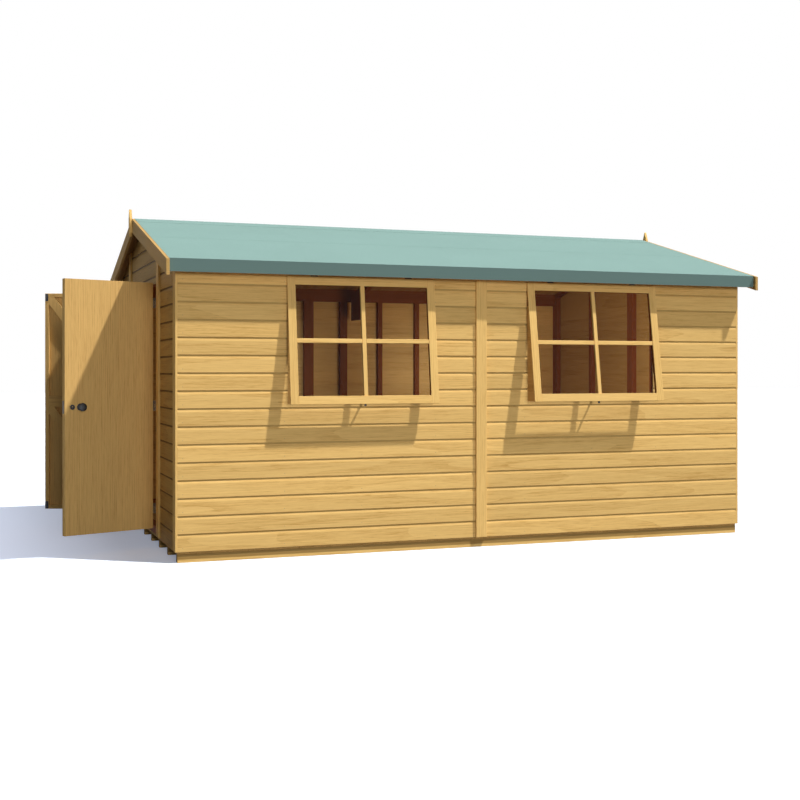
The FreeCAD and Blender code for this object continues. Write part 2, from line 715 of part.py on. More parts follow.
def inner_knob():
    """The same knob on the near leaf's inner face, shut position."""
    middle = FreeCAD.Vector((LEAF_OUT_X + LEAF_IN_X) / 2.0, 0, 0)
    return door_knob().mirror(middle, FreeCAD.Vector(1, 0, 0))


def door_escutcheon():
    """Round keyhole plate on the near leaf's outer face, shut position."""
    y = LEAF_HIGH_Y - ESCUTCHEON_FROM_EDGE
    thick = ESCUTCHEON_THICK
    along = FreeCAD.Vector(1, 0, 0)
    base = FreeCAD.Vector(LEAF_OUT_X - thick, y, HANDLE_Z)
    plate = Part.makeCylinder(ESCUTCHEON_RADIUS, thick, base, along)
    x0 = LEAF_OUT_X - thick - OVERCUT
    x1 = LEAF_OUT_X + OVERCUT
    centre = FreeCAD.Vector(x0, y, HANDLE_Z + KEYHOLE_RISE)
    hole = Part.makeCylinder(KEYHOLE_RADIUS, x1 - x0, centre, along)
    half = KEYHOLE_SLOT / 2.0
    slot = box(x0, x1, y - half, y + half, HANDLE_Z - KEYHOLE_DROP, HANDLE_Z + KEYHOLE_RISE)
    return plate.cut(hole).cut(slot)


def lock_plate():
    """Thin plate let into the middle of the leaf frame's meeting edge, shut position."""
    x0 = LEAF_IN_X - (LEAF_FRAME + LOCK_PLATE_WIDTH) / 2.0
    y0 = LEAF_HIGH_Y - LOCK_PLATE_THICK
    z0 = HANDLE_Z - LOCK_PLATE_HEIGHT / 2.0
    return box(x0, x0 + LOCK_PLATE_WIDTH, y0, LEAF_HIGH_Y, z0, z0 + LOCK_PLATE_HEIGHT)


def mortice_lock():
    """Lock case let into the near leaf's frame behind its edge plate, shut position."""
    x0 = LEAF_IN_X - (LEAF_FRAME + LOCK_CASE_THICK) / 2.0
    y1 = LEAF_HIGH_Y - LOCK_PLATE_THICK
    y0 = LEAF_HIGH_Y - LOCK_CASE_DEPTH
    z0 = HANDLE_Z - LOCK_CASE_HEIGHT / 2.0
    case = box(x0, x0 + LOCK_CASE_THICK, y0, y1, z0, z0 + LOCK_CASE_HEIGHT)
    return case.fuse(lock_plate())


def tower_bolts():
    """Bolts at the top and bottom of the far leaf, drawn back, shut position."""
    x0 = LEAF_IN_X
    y = DEPTH - LEAF_HIGH_Y + STILE_WIDTH / 2.0
    half = BOLT_PLATE_WIDTH / 2.0
    axis_x = x0 + BOLT_PLATE_THICK + BOLT_RADIUS
    bolts = []
    for z0 in (LEAF_BOTTOM + BOLT_INSET, LEAF_TOP - BOLT_INSET - BOLT_LENGTH):
        z1 = z0 + BOLT_LENGTH
        plate = box(x0, x0 + BOLT_PLATE_THICK + BOLT_RADIUS / 2.0, y - half, y + half, z0, z1)
        base = FreeCAD.Vector(axis_x, y, z0)
        rod = Part.makeCylinder(BOLT_RADIUS, BOLT_LENGTH, base, FreeCAD.Vector(0, 0, 1))
        thumb = FreeCAD.Vector(axis_x, y, (z0 + z1) / 2.0)
        grip = Part.makeCylinder(BOLT_GRIP_RADIUS, BOLT_GRIP_REACH, thumb, FreeCAD.Vector(1, 0, 0))
        bolts.append(plate.multiFuse([rod, grip]).removeSplitter())
    return bolts


def bolt_keeps():
    """Plates that take the tower bolts, on the threshold and under the doorway head."""
    x0 = LEAF_IN_X
    x1 = x0 + BOLT_PLATE_THICK + 2.0 * BOLT_RADIUS
    y = DEPTH - LEAF_HIGH_Y + STILE_WIDTH / 2.0
    half = BOLT_PLATE_WIDTH / 2.0
    thick = KEEP_PLATE_THICK
    low = box(x0, x1, y - half, y + half, THRESHOLD_TOP, THRESHOLD_TOP + thick)
    high = box(x0, x1, y - half, y + half, DOORWAY_TOP - thick, DOORWAY_TOP)
    return [low, high]


def build_nodes():
    """Every node's solids in shed coordinates."""
    nodes = {}
    nodes["floor_bearers"] = floor_bearers()
    nodes["floor_deck"] = floor_deck()
    front = front_wall_panel()
    nodes["front_wall_left"] = [front]
    nodes["front_wall_right"] = [mirror_x(front)]
    nodes["back_wall"] = back_wall_panels()
    gable = gable_panel()
    nodes["far_gable_wall"] = [gable, mirror_y(gable)]
    side = door_wall_side()
    nodes["door_wall_sides"] = [side, mirror_y(side)]
    nodes["door_wall_header"] = [door_wall_header()]
    nodes["front_wall_rails"] = front_rails()
    nodes["front_wall_studs"] = front_studs()
    nodes["back_wall_rails"] = back_rails()
    nodes["back_wall_studs"] = back_studs()
    nodes["door_wall_rails"] = door_wall_rails()
    nodes["door_wall_studs"] = door_wall_studs()
    nodes["far_gable_rails"] = far_gable_rails()
    nodes["far_gable_studs"] = far_gable_studs()
    nodes["corner_strips"] = corner_strips()
    nodes["door_side_strips"] = door_side_strips()
    nodes["panel_joint_strips"] = panel_joint_strips()
    nodes["door_threshold"] = door_threshold()
    boards = roof_slab(BOARD_DROP, UNDER_DROP)
    nodes["roof_boards_front"] = [boards]
    nodes["roof_boards_back"] = [mirror_y(boards)]
    felt = roof_felt()
    nodes["roof_felt_front"] = [felt]
    nodes["roof_felt_back"] = [mirror_y(felt)]
    nodes["fascia_boards"] = fascia_boards()
    nodes["eaves_battens"] = eaves_battens()
    nodes["roof_purlins"] = roof_purlins()
    nodes["roof_truss"] = roof_truss()
    nodes["truss_gussets"] = truss_gussets()
    barge = bargeboard()
    pair = [barge, mirror_y(barge)]
    nodes["bargeboards"] = pair + [mirror_x(board) for board in pair]
    point = finial()
    nodes["finials"] = [point, mirror_x(point)]
    left = LEFT_SASH_OPEN_DEG
    right = RIGHT_SASH_OPEN_DEG
    nodes["window_sashes"] = [window_sash(left), mirror_x(window_sash(right))]
    nodes["window_panes"] = [window_pane(left), mirror_x(window_pane(right))]
    nodes["window_stays"] = [window_stay(left), mirror_x(window_stay(right))]
    nodes["window_hinges"] = window_hinges()
    boards = swing(leaf_boards())
    nodes["near_door_boards"] = [boards]
    nodes["far_door_boards"] = [mirror_y(boards)]
    frame = swing(leaf_frame())
    nodes["near_door_frame"] = [frame.cut(swing(mortice_lock()))]
    nodes["far_door_frame"] = [mirror_y(frame.cut(swing(lock_plate())))]
    fixed = hinge_fixed()
    nodes["door_hinges_fixed"] = fixed + [mirror_y(half) for half in fixed]
    moving = [swing(half) for half in hinge_moving()]
    nodes["near_door_hinges"] = moving
    nodes["far_door_hinges"] = [mirror_y(half) for half in moving]
    knobs = [swing(door_knob()), swing(inner_knob())]
    nodes["door_knob_and_keyhole"] = knobs + [swing(door_escutcheon())]
    nodes["door_lock"] = [swing(mortice_lock())]
    far_fittings = tower_bolts() + [mirror_y(lock_plate())]
    nodes["tower_bolts_and_keep"] = [mirror_y(swing(mirror_y(one))) for one in far_fittings]
    nodes["bolt_keeps"] = bolt_keeps()
    return nodes


def main():
    """Shift every node to the common origin and write its file."""
    os.makedirs("parts", exist_ok=True)
    nodes = build_nodes()
    whole = Part.makeCompound([solid for solids in nodes.values() for solid in solids])
    bounds = whole.BoundBox
    shift = FreeCAD.Vector(-bounds.Center.x, -bounds.Center.y, -bounds.ZMin)
    print("shift %.4f %.4f %.4f" % (shift.x, shift.y, shift.z))
    print("size %.3f %.3f %.3f" % (bounds.XLength, bounds.YLength, bounds.ZLength))
    for name, solids in nodes.items():
        moved = []
        for solid in solids:
            one = solid.Solids[0]
            placed = one.copy()
            placed.translate(shift)
            moved.append(placed)
            if not placed.isValid() or len(solid.Solids) != 1:
                print("check", name)
        shape = moved[0] if len(moved) == 1 else Part.makeCompound(moved)
        shape.exportStep("parts/" + name + ".step")
    print("pin %.4f %.4f" % (PIN_X + shift.x, PIN_Y + shift.y))
    print("nodes", len(nodes))


if __name__ == "__main__":
    main()
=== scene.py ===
import itertools
import logging
import math
import random
from dataclasses import dataclass, field
from enum import Enum
from functools import partial
from typing import Callable, Optional, Sequence

import bmesh
import bpy
from mathutils import Matrix, Vector


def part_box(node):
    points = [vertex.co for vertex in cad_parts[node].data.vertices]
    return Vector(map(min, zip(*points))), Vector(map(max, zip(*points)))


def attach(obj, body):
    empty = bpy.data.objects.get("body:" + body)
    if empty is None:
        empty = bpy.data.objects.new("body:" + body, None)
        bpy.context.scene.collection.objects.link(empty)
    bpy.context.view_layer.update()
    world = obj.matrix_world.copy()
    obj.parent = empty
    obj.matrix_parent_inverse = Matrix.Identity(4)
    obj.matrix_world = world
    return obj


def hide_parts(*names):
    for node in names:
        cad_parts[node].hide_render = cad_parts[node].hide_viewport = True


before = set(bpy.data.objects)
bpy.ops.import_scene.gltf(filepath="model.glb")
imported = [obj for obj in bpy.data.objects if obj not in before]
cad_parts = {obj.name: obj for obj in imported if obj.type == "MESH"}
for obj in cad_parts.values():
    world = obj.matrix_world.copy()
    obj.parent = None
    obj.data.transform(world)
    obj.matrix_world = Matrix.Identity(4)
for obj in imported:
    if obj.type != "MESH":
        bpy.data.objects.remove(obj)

# Looks of a timber garden shed, built on its fixed frame. Metres, Z up. The
# window wall faces -Y and the door gable faces -X.

LOG = logging.getLogger("shed")
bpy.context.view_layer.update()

Point = tuple[float, float, float]
Colour = tuple[float, float, float]
Corners = tuple[int, ...]
Node = bpy.types.Node
Socket = bpy.types.NodeSocket
Material = bpy.types.Material
Thing = bpy.types.Object

# Driving sizes that the looks share with the frame
ROOF_PITCH = math.radians(15.22)
FELT_DEPTH = 0.003
ROOF_BOARD_DEPTH = 0.012
COURSE = 0.120
CLAD_DEPTH = 0.012
GAP = 0.001

# Play under the roof boards, and the least size of a piece of wall board
ROOF_PLAY = 0.0005
SMALLEST_PIECE = 0.003

# Repeats a metre along the grain and across it
STREAKS = (3.6, 130.0, 130.0)
FIBRES = (14.0, 420.0, 420.0)
CLOUDS = (0.9, 5.0, 5.0)
WARP = (0.5, 5.0, 5.0)
RINGS = (0.20, 26.0, 14.0)
KNOTS = (2.2, 6.5, 6.5)

# Parts of streaks, rings and fibres in the grain, its contrast and its middle
STREAK_PART = 0.50
RING_PART = 0.10
FIBRE_PART = 0.40
GRAIN_CONTRAST = 3.4
GRAIN_MIDDLE = 0.55


def srgb(red: int, green: int, blue: int) -> Colour:
    """Linear colour of three display values from 0 to 255.

    Args:
        red: Red display value.
        green: Green display value.
        blue: Blue display value.

    Returns:
        The colour in linear light.
    """
    out = []
    for value in (red, green, blue):
        share = value / 255.0
        out.append(share / 12.92 if share <= 0.04045 else ((share + 0.055) / 1.055) ** 2.4)
    return out[0], out[1], out[2]


def shaded(colour: Colour, factor: float, lift: float = 0.0) -> Colour:
    """A colour made darker or paler, kept within white.

    Args:
        colour: Colour to start from.
        factor: Multiplies each channel.
        lift: Added to each channel.

    Returns:
        The changed colour.
    """
    red, green, blue = (min(1.0, channel * factor + lift) for channel in colour)
    return red, green, blue


class GrainRun(Enum):
    """Where a timber finish takes the direction of its grain from."""

    PIECE = "piece"
    ALONG_X = "along x"
    ALONG_Y = "along y"
    ALONG_Z = "along z"
    UP_SLOPE = "up slope"


class ShaderBench:
    """Lays out the nodes of one material."""

    def __init__(self, name: str) -> None:
        """Start an empty material with an output and a principled shader.

        Args:
            name: The material's name.
        """
        self.material = bpy.data.materials.new(name)
        self.material.use_nodes = True
        self.tree = self.material.node_tree
        self.tree.nodes.clear()
        self.output = self.add("ShaderNodeOutputMaterial")
        self.skin = self.add("ShaderNodeBsdfPrincipled")
        self.feed(self.skin.outputs["BSDF"], self.output, "Surface")

    def add(self, kind: str, settings: Optional[dict[str, object]] = None) -> Node:
        """Add a node of one kind.

        Args:
            kind: Blender's name of the kind.
            settings: Fixed values of its inputs by name.

        Returns:
            The new node.
        """
        node = self.tree.nodes.new(kind)
        for name, value in (settings or {}).items():
            node.inputs[name].default_value = value
        return node

    def feed(self, value: object, target: Node, into: "str | int") -> None:
        """Link a socket to an input, or set the input to a fixed value.

        Args:
            value: An output socket, a number or a colour.
            target: Node that takes it.
            into: Name or number of the input.
        """
        if isinstance(value, Socket):
            self.tree.links.new(value, target.inputs[into])
        else:
            target.inputs[into].default_value = value

    def math(
        self, operation: str, first: "Socket | float", second: "Socket | float" = 0.0
    ) -> Socket:
        """Join two numbers or sockets by arithmetic.

        Args:
            operation: Blender's name of the operation.
            first: A number or an output socket.
            second: A number or an output socket.

        Returns:
            Socket with the result.
        """
        node = self.add("ShaderNodeMath")
        node.operation = operation
        self.feed(first, node, 0)
        self.feed(second, node, 1)
        return node.outputs[0]

    def attribute(self, name: str) -> Node:
        """Read a value that the mesh carries.

        Args:
            name: Name of the mesh's attribute.

        Returns:
            The attribute node.
        """
        node = self.add("ShaderNodeAttribute")
        node.attribute_name = name
        return node

    def place(self) -> Socket:
        """Coordinates in the object's own space."""
        return self.add("ShaderNodeTexCoord").outputs["Object"]

    def axis(self, vector: Socket, name: str) -> Socket:
        """One axis of a vector, X, Y or Z.

        Args:
            vector: Socket with the vector.
            name: Name of the axis.

        Returns:
            Socket with the axis.
        """
        split = self.add("ShaderNodeSeparateXYZ")
        self.feed(vector, split, "Vector")
        return split.outputs[name]

    def normal(self) -> Socket:
        """Direction that the surface faces."""
        return self.add("ShaderNodeNewGeometry").outputs["True Normal"]

    def stretched(self, vector: Socket, scale: Point) -> Socket:
        """Coordinates with a scale on each axis.

        Args:
            vector: Socket with the coordinates.
            scale: Factor of each axis.

        Returns:
            Socket with the scaled coordinates.
        """
        node = self.add("ShaderNodeMapping", {"Scale": scale})
        self.feed(vector, node, "Vector")
        return node.outputs["Vector"]

    def noise(self, vector: Socket, scale: Point, detail: float, twist: float = 0.0) -> Node:
        """Noise stretched by a scale on each axis.

        Args:
            vector: Socket with the coordinates.
            scale: Repeats a metre on each axis.
            detail: Octaves of the noise.
            twist: Distortion of the noise.

        Returns:
            The noise node.
        """
        look = {"Scale": 1.0, "Detail": detail, "Roughness": 0.6, "Distortion": twist}
        node = self.add("ShaderNodeTexNoise", look)
        self.feed(self.stretched(vector, scale), node, "Vector")
        return node

    def span(
        self, value: Socket, start: float, end: float, low: float = 0.0, high: float = 1.0
    ) -> Socket:
        """Run from one number to another while a value runs between two limits.

        Args:
            value: Socket with the value.
            start: Limit at which the result is low.
            end: Limit at which the result is high.
            low: Result at and before the start.
            high: Result at and past the end.

        Returns:
            Socket with the result.
        """
        limits = {"From Min": start, "From Max": end, "To Min": low, "To Max": high}
        node = self.add("ShaderNodeMapRange", limits)
        self.feed(value, node, "Value")
        return node.outputs["Result"]

    def ramp(self, source: Socket, stops: Sequence[tuple[float, Colour]]) -> Socket:
        """Colour ramp along a number.

        Args:
            source: Socket with the number.
            stops: Places from 0 to 1 with their colours.

        Returns:
            Socket with the colour.
        """
        node = self.add("ShaderNodeValToRGB")
        band = node.color_ramp.elements
        for stop, (place, colour) in zip((band[0], band[1]), (stops[0], stops[-1])):
            stop.position = place
            stop.color = (*colour, 1.0)
        for place, colour in stops[1:-1]:
            band.new(place).color = (*colour, 1.0)
        self.feed(source, node, "Fac")
        return node.outputs["Color"]

    def blend(self, share: Socket, low: "Socket | Colour", high: "Socket | Colour") -> Socket:
        """Mix two colours, each a fixed colour or an output socket.

        Args:
            share: Socket with the share of the second colour.
            low: First colour.
            high: Second colour.

        Returns:
            The mixed colour's socket.
        """
        node = self.add("ShaderNodeMix")
        node.data_type = "RGBA"
        self.feed(share, node, 0)
        for slot, value in ((6, low), (7, high)):
            self.feed(value if isinstance(value, Socket) else (*value, 1.0), node, slot)
        return node.outputs[2]

    def dimmed(self, colour: Socket, level: Socket) -> Socket:
        """Multiply a colour by a number.

        Args:
            colour: Socket with the colour.
            level: Socket with the number.

        Returns:
            Socket with the result.
        """
        node = self.add("ShaderNodeVectorMath")
        node.operation = "SCALE"
        self.feed(colour, node, 0)
        self.feed(level, node, "Scale")
        return node.outputs["Vector"]

    def relief(self, height: Socket, strength: float, distance: float) -> None:
        """Bump the surface by a height.

        Args:
            height: Socket with the height.
            strength: Strength of the bump.
            distance: Height of the relief in metres.
        """
        node = self.add("ShaderNodeBump", {"Strength": strength, "Distance": distance})
        self.feed(height, node, "Height")
        self.feed(node.outputs["Normal"], self.skin, "Normal")


@dataclass(frozen=True)
class TimberFinish:
    """Planed softwood with streaks, growth rings, fine fibres, rubbed edges and painted shade."""

    name: str
    pale: Colour
    dark: Colour
    run: GrainRun = GrainRun.PIECE
    contrast: float = 1.0
    variety: float = 0.14
    roughness: float = 0.62
    knots: float = 0.0
    # Strength of the painted shade on faces marked below zero: shiplap grooves and board
    # undersides.
    painted_shade: float = 0.45
    # Height from which a bearer is painted in shade; zero leaves it out.
    bearer_shade_from: float = 0.0

    def grain_vector(self, bench: ShaderBench) -> Socket:
        """Coordinates with the grain along their first axis.

        Args:
            bench: The material's nodes.

        Returns:
            Socket with the coordinates, in metres.
        """
        if self.run is GrainRun.PIECE:
            return bench.attribute("grain").outputs["Vector"]
        place = bench.place()
        if self.run is GrainRun.UP_SLOPE:
            height = bench.axis(place, "Z")
            across = bench.math("ABSOLUTE", bench.axis(place, "Y"))
            along = bench.math("MULTIPLY", across, math.cos(ROOF_PITCH))
            drop = bench.math("MULTIPLY", height, -math.sin(ROOF_PITCH))
            rise = bench.math("MULTIPLY", height, math.cos(ROOF_PITCH))
            lean = bench.math("MULTIPLY", across, math.sin(ROOF_PITCH))
            ways = [bench.math("ADD", along, drop), bench.math("ADD", rise, lean)]
            ways.append(bench.axis(place, "X"))
        else:
            order = {GrainRun.ALONG_X: "XYZ", GrainRun.ALONG_Y: "YZX", GrainRun.ALONG_Z: "ZXY"}
            ways = [bench.axis(place, name) for name in order[self.run]]
        joined = bench.add("ShaderNodeCombineXYZ")
        for way, name in zip(ways, "XYZ"):
            bench.feed(way, joined, name)
        return joined.outputs["Vector"]

    def rings(self, bench: ShaderBench, vector: Socket) -> Socket:
        """Growth rings, cut lengthwise and slightly wavy.

        Args:
            bench: The material's nodes.
            vector: Coordinates along the grain.

        Returns:
            Socket with the rings' level.
        """
        bend = bench.add("ShaderNodeVectorMath")
        bend.operation = "MULTIPLY_ADD"
        bench.feed(bench.noise(vector, WARP, 1.0).outputs["Color"], bend, 0)
        bench.feed((0.0, 1.6, 1.6), bend, 1)
        bench.feed(bench.stretched(vector, RINGS), bend, 2)
        look = {"Scale": 0.9, "Distortion": 1.6, "Detail": 2.0, "Detail Scale": 1.2}
        wave = bench.add("ShaderNodeTexWave", look)
        wave.wave_type = "BANDS"
        wave.bands_direction = "Y"
        wave.wave_profile = "SAW"
        bench.feed(bend.outputs["Vector"], wave, "Vector")
        return wave.outputs["Fac"]

    def build(self) -> Material:
        """Make the material.

        Returns:
            The finished material.
        """
        bench = ShaderBench(self.name)
        vector = self.grain_vector(bench)
        streaks = bench.noise(vector, STREAKS, 4.0, 0.3).outputs["Fac"]
        fibres = bench.noise(vector, FIBRES, 3.0, 0.1).outputs["Fac"]
        ring_part = bench.math("MULTIPLY", self.rings(bench, vector), RING_PART)
        fibre_part = bench.math("MULTIPLY", fibres, FIBRE_PART)
        first = bench.math("ADD", bench.math("MULTIPLY", streaks, STREAK_PART), ring_part)
        centred = bench.math("SUBTRACT", bench.math("ADD", first, fibre_part), 0.50)
        spread = bench.math("MULTIPLY", centred, GRAIN_CONTRAST * self.contrast)
        share = bench.math("ADD", spread, GRAIN_MIDDLE)
        stops = ((0.0, self.dark), (0.45, self.middle()), (1.0, self.pale))
        colour = self.shade_pieces(bench, vector, bench.ramp(share, stops))
        if self.knots > 0.0:
            colour = self.add_knots(bench, vector, colour)
        # Face marks: above zero a rubbed, paler edge; below zero painted shade, a dark copy of the
        # wood in grooves and under boards.
        wear_and_shade = bench.attribute("wear_and_shade").outputs["Fac"]
        rubbed = bench.math("MULTIPLY", wear_and_shade, 0.35)
        colour = bench.blend(rubbed, colour, shaded(self.pale, 1.12, 0.02))
        shade_colour = shaded(self.dark, 0.30)
        colour = bench.blend(bench.math("MULTIPLY", wear_and_shade, -self.painted_shade), colour, shade_colour)
        if self.bearer_shade_from > 0.0:
            colour = self.paint_bearer_shade(bench, colour, shade_colour)
        bench.feed(colour, bench.skin, "Base Color")
        rough = bench.math("MULTIPLY", streaks, 0.16)
        bench.feed(bench.math("ADD", rough, self.roughness - 0.08), bench.skin, "Roughness")
        bench.feed(0.05, bench.skin, "Specular IOR Level")
        bench.relief(bench.math("ADD", fibre_part, ring_part), 0.22, 0.0012)
        return bench.material

    def paint_bearer_shade(self, bench: ShaderBench, colour: Socket, shade_colour: Colour) -> Socket:
        """Paint shade on a bearer's top, under the wall's overhang, and on its end faces.

        Args:
            bench: The material's nodes.
            colour: Socket with the colour so far.
            shade_colour: Colour of the painted shade.

        Returns:
            Socket with the darkened colour.
        """
        # Painted shade: darker from a height up, where the wall's overhang shades the bearer, and
        # on faces that face along X.
        height = bench.axis(bench.place(), "Z")
        band = bench.span(height, self.bearer_shade_from - 0.003, self.bearer_shade_from + 0.003, 0.0, 0.72)
        ends = bench.math("ABSOLUTE", bench.axis(bench.normal(), "X"))
        share = bench.math("MAXIMUM", band, bench.math("MULTIPLY", ends, 0.88))
        return bench.blend(share, colour, shade_colour)

    def middle(self) -> Colour:
        """Colour between the pale and the dark one."""
        mixed = tuple(0.68 * pale + 0.32 * dark for pale, dark in zip(self.pale, self.dark))
        return mixed[0], mixed[1], mixed[2]

    def shade_pieces(self, bench: ShaderBench, vector: Socket, tint: Socket) -> Socket:
        """Lighten or darken each board, and softly along its length.

        Args:
            bench: The material's nodes.
            vector: Coordinates along the grain.
            tint: Socket with the grain's colour.

        Returns:
            Socket with the varied colour.
        """
        clouds = bench.noise(vector, CLOUDS, 2.0).outputs["Fac"]
        tone = bench.math("MULTIPLY", bench.attribute("tone").outputs["Fac"], self.variety)
        slow = bench.math("MULTIPLY", clouds, self.variety * 0.9)
        both = bench.math("ADD", tone, slow)
        return bench.dimmed(tint, bench.math("SUBTRACT", 1.0 + 0.62 * self.variety, both))

    def add_knots(self, bench: ShaderBench, vector: Socket, colour: Socket) -> Socket:
        """Sparse oval knots in the boards.

        Args:
            bench: The material's nodes.
            vector: Coordinates along the grain.
            colour: Socket with the colour so far.

        Returns:
            Socket with the colour and the knots.
        """
        cells = bench.add("ShaderNodeTexVoronoi", {"Scale": 1.0})
        bench.feed(bench.stretched(vector, KNOTS), cells, "Vector")
        stops = ((0.05, (1.0, 1.0, 1.0)), (0.10, (0.0, 0.0, 0.0)))
        near = bench.ramp(cells.outputs["Distance"], stops)
        share = bench.math("MULTIPLY", near, self.knots)
        return bench.blend(share, colour, shaded(self.dark, 0.42))


@dataclass(frozen=True)
class FeltFinish:
    """Roofing felt faced with fine mineral grains, with painted shade on its upright faces."""

    name: str
    colour: Colour

    def build(self) -> Material:
        """Make the material.

        Returns:
            The finished material.
        """
        bench = ShaderBench(self.name)
        place = bench.place()
        grains = bench.noise(place, (700.0,) * 3, 2.0).outputs["Fac"]
        clumps = bench.noise(place, (90.0,) * 3, 3.0).outputs["Fac"]
        clouds = bench.noise(place, (1.4,) * 3, 3.0).outputs["Fac"]
        dark = shaded(self.colour, 0.72)
        stops = ((0.32, dark), (0.5, self.colour), (0.68, shaded(self.colour, 1.22)))
        speck = bench.ramp(grains, stops)
        colour = bench.blend(bench.math("MULTIPLY", clumps, 0.25), speck, dark)
        level = bench.math("SUBTRACT", 1.10, bench.math("MULTIPLY", clouds, 0.14))
        # Painted shade: faces that stand upright or face down, such as the eave fold, blend toward
        # a darker copy of the felt.
        upright = bench.span(bench.axis(bench.normal(), "Z"), 0.8, 0.3)
        shown = bench.blend(upright, bench.dimmed(colour, level), shaded(self.colour, 0.52))
        bench.feed(shown, bench.skin, "Base Color")
        rough = bench.math("MULTIPLY", clumps, 0.1)
        bench.feed(bench.math("ADD", rough, 0.86), bench.skin, "Roughness")
        bench.feed(0.2, bench.skin, "Specular IOR Level")
        bench.relief(grains, 0.35, 0.0008)
        return bench.material


@dataclass(frozen=True)
class MetalFinish:
    """Painted or plated iron with slightly uneven gloss and rubbed spots."""

    name: str
    colour: Colour
    metallic: float
    roughness: float

    def build(self) -> Material:
        """Make the material.

        Returns:
            The finished material.
        """
        bench = ShaderBench(self.name)
        place = bench.place()
        wear = bench.noise(place, (60.0,) * 3, 4.0).outputs["Fac"]
        fine = bench.noise(place, (420.0,) * 3, 2.0).outputs["Fac"]
        stops = ((0.45, self.colour), (0.75, shaded(self.colour, 1.5, 0.015)))
        bench.feed(bench.ramp(wear, stops), bench.skin, "Base Color")
        bench.feed(self.metallic, bench.skin, "Metallic")
        rough = bench.math("MULTIPLY", wear, 0.22)
        bench.feed(bench.math("ADD", rough, self.roughness - 0.1), bench.skin, "Roughness")
        bench.relief(fine, 0.12, 0.0004)
        return bench.material


@dataclass(frozen=True)
class GlassFinish:
    """Thin clear glazing with a trace of dust."""

    name: str
    cover: float

    def build(self) -> Material:
        """Make the material.

        Returns:
            The finished material.
        """
        bench = ShaderBench(self.name)
        dust = bench.noise(bench.place(), (3.0,) * 3, 4.0).outputs["Fac"]
        bench.feed((0.02, 0.025, 0.024, 1.0), bench.skin, "Base Color")
        bench.feed(bench.math("MULTIPLY", dust, 0.05), bench.skin, "Roughness")
        share = bench.math("MULTIPLY", dust, self.cover * 0.5)
        bench.feed(bench.math("ADD", share, self.cover), bench.skin, "Alpha")
        return bench.material


# Pale and dark colour of each timber. The gable, barge and jamb colours are darker copies of the
# pine: painted shade.
PINE = (srgb(243, 202, 127), srgb(206, 160, 88))
GABLE_PAINTED_SHADE = (srgb(200, 161, 96), srgb(160, 118, 62))
BARGE_PAINTED_SHADE = (srgb(204, 166, 102), srgb(166, 126, 68))
JAMB_PAINTED_SHADE = (srgb(118, 88, 50), srgb(82, 58, 31))
DOOR = (srgb(220, 180, 112), srgb(184, 142, 84))
RED = (srgb(146, 82, 42), srgb(94, 49, 23))
DECK = (srgb(206, 164, 98), srgb(146, 102, 54))
ROOF = (srgb(198, 152, 88), srgb(134, 90, 46))


class Finishes:
    """Every finish of the shed, made once."""

    def __init__(self) -> None:
        """Make the materials."""
        long, across, upright = GrainRun.ALONG_X, GrainRun.ALONG_Y, GrainRun.ALONG_Z
        sloped = GrainRun.UP_SLOPE
        self.shiplap = TimberFinish("shiplap_pine", *PINE).build()
        # The gable, barge and jamb finishes use darker copies of the pine: painted shade. The
        # gables also take stronger painted shade in their grooves.
        self.gable = TimberFinish("gable_pine_painted_shade", *GABLE_PAINTED_SHADE, painted_shade=0.9).build()
        self.trim = TimberFinish("trim_pine", *PINE, contrast=0.9, variety=0.08).build()
        self.trim_up = TimberFinish("trim_pine_upright", *PINE, upright, 0.9, 0.08).build()
        self.trim_long = TimberFinish("trim_pine_long", *PINE, long, 0.9, 0.08).build()
        self.barge = TimberFinish("barge_pine_painted_shade", *BARGE_PAINTED_SHADE, sloped, 0.9, 0.08).build()
        self.jamb = TimberFinish("jamb_pine_painted_shade", *JAMB_PAINTED_SHADE, upright, 0.9).build()
        self.door = TimberFinish("door_pine", *DOOR, variety=0.06).build()
        self.inner = TimberFinish("framing_pine", *RED, contrast=0.8).build()
        self.inner_x = TimberFinish("framing_pine_long", *RED, long, 0.8).build()
        self.inner_y = TimberFinish("framing_pine_across", *RED, across, 0.8).build()
        self.inner_z = TimberFinish("framing_pine_upright", *RED, upright, 0.8).build()
        self.inner_slope = TimberFinish("framing_pine_sloped", *RED, sloped, 0.8).build()
        # Bearers get painted shade on their tops and ends.
        self.bearer = TimberFinish("bearer_pine", *PINE, long, bearer_shade_from=0.021).build()
        self.floor = TimberFinish("floor_pine", *DECK, knots=0.7).build()
        self.roof = TimberFinish("roof_pine", *ROOF, knots=0.8).build()
        self.felt = FeltFinish("green_felt", srgb(133, 164, 158)).build()
        self.glass = GlassFinish("clear_glass", 0.06).build()
        self.black = MetalFinish("black_iron", (0.006, 0.006, 0.007), 0.0, 0.5).build()
        self.bronze = MetalFinish("bronzed_steel", (0.10, 0.066, 0.032), 0.5, 0.6).build()
        self.nails = MetalFinish("wire_nails", (0.34, 0.25, 0.14), 0.6, 0.6).build()


def bar_faces(count: int) -> list[Corners]:
    """Faces of a bar whose two ends have the same number of corners.

    Args:
        count: Number of corners of one end.

    Returns:
        The long faces, then the two ends.
    """
    faces = [(i, (i + 1) % count, count + (i + 1) % count, count + i) for i in range(count)]
    return [*faces, tuple(reversed(range(count))), tuple(range(count, 2 * count))]


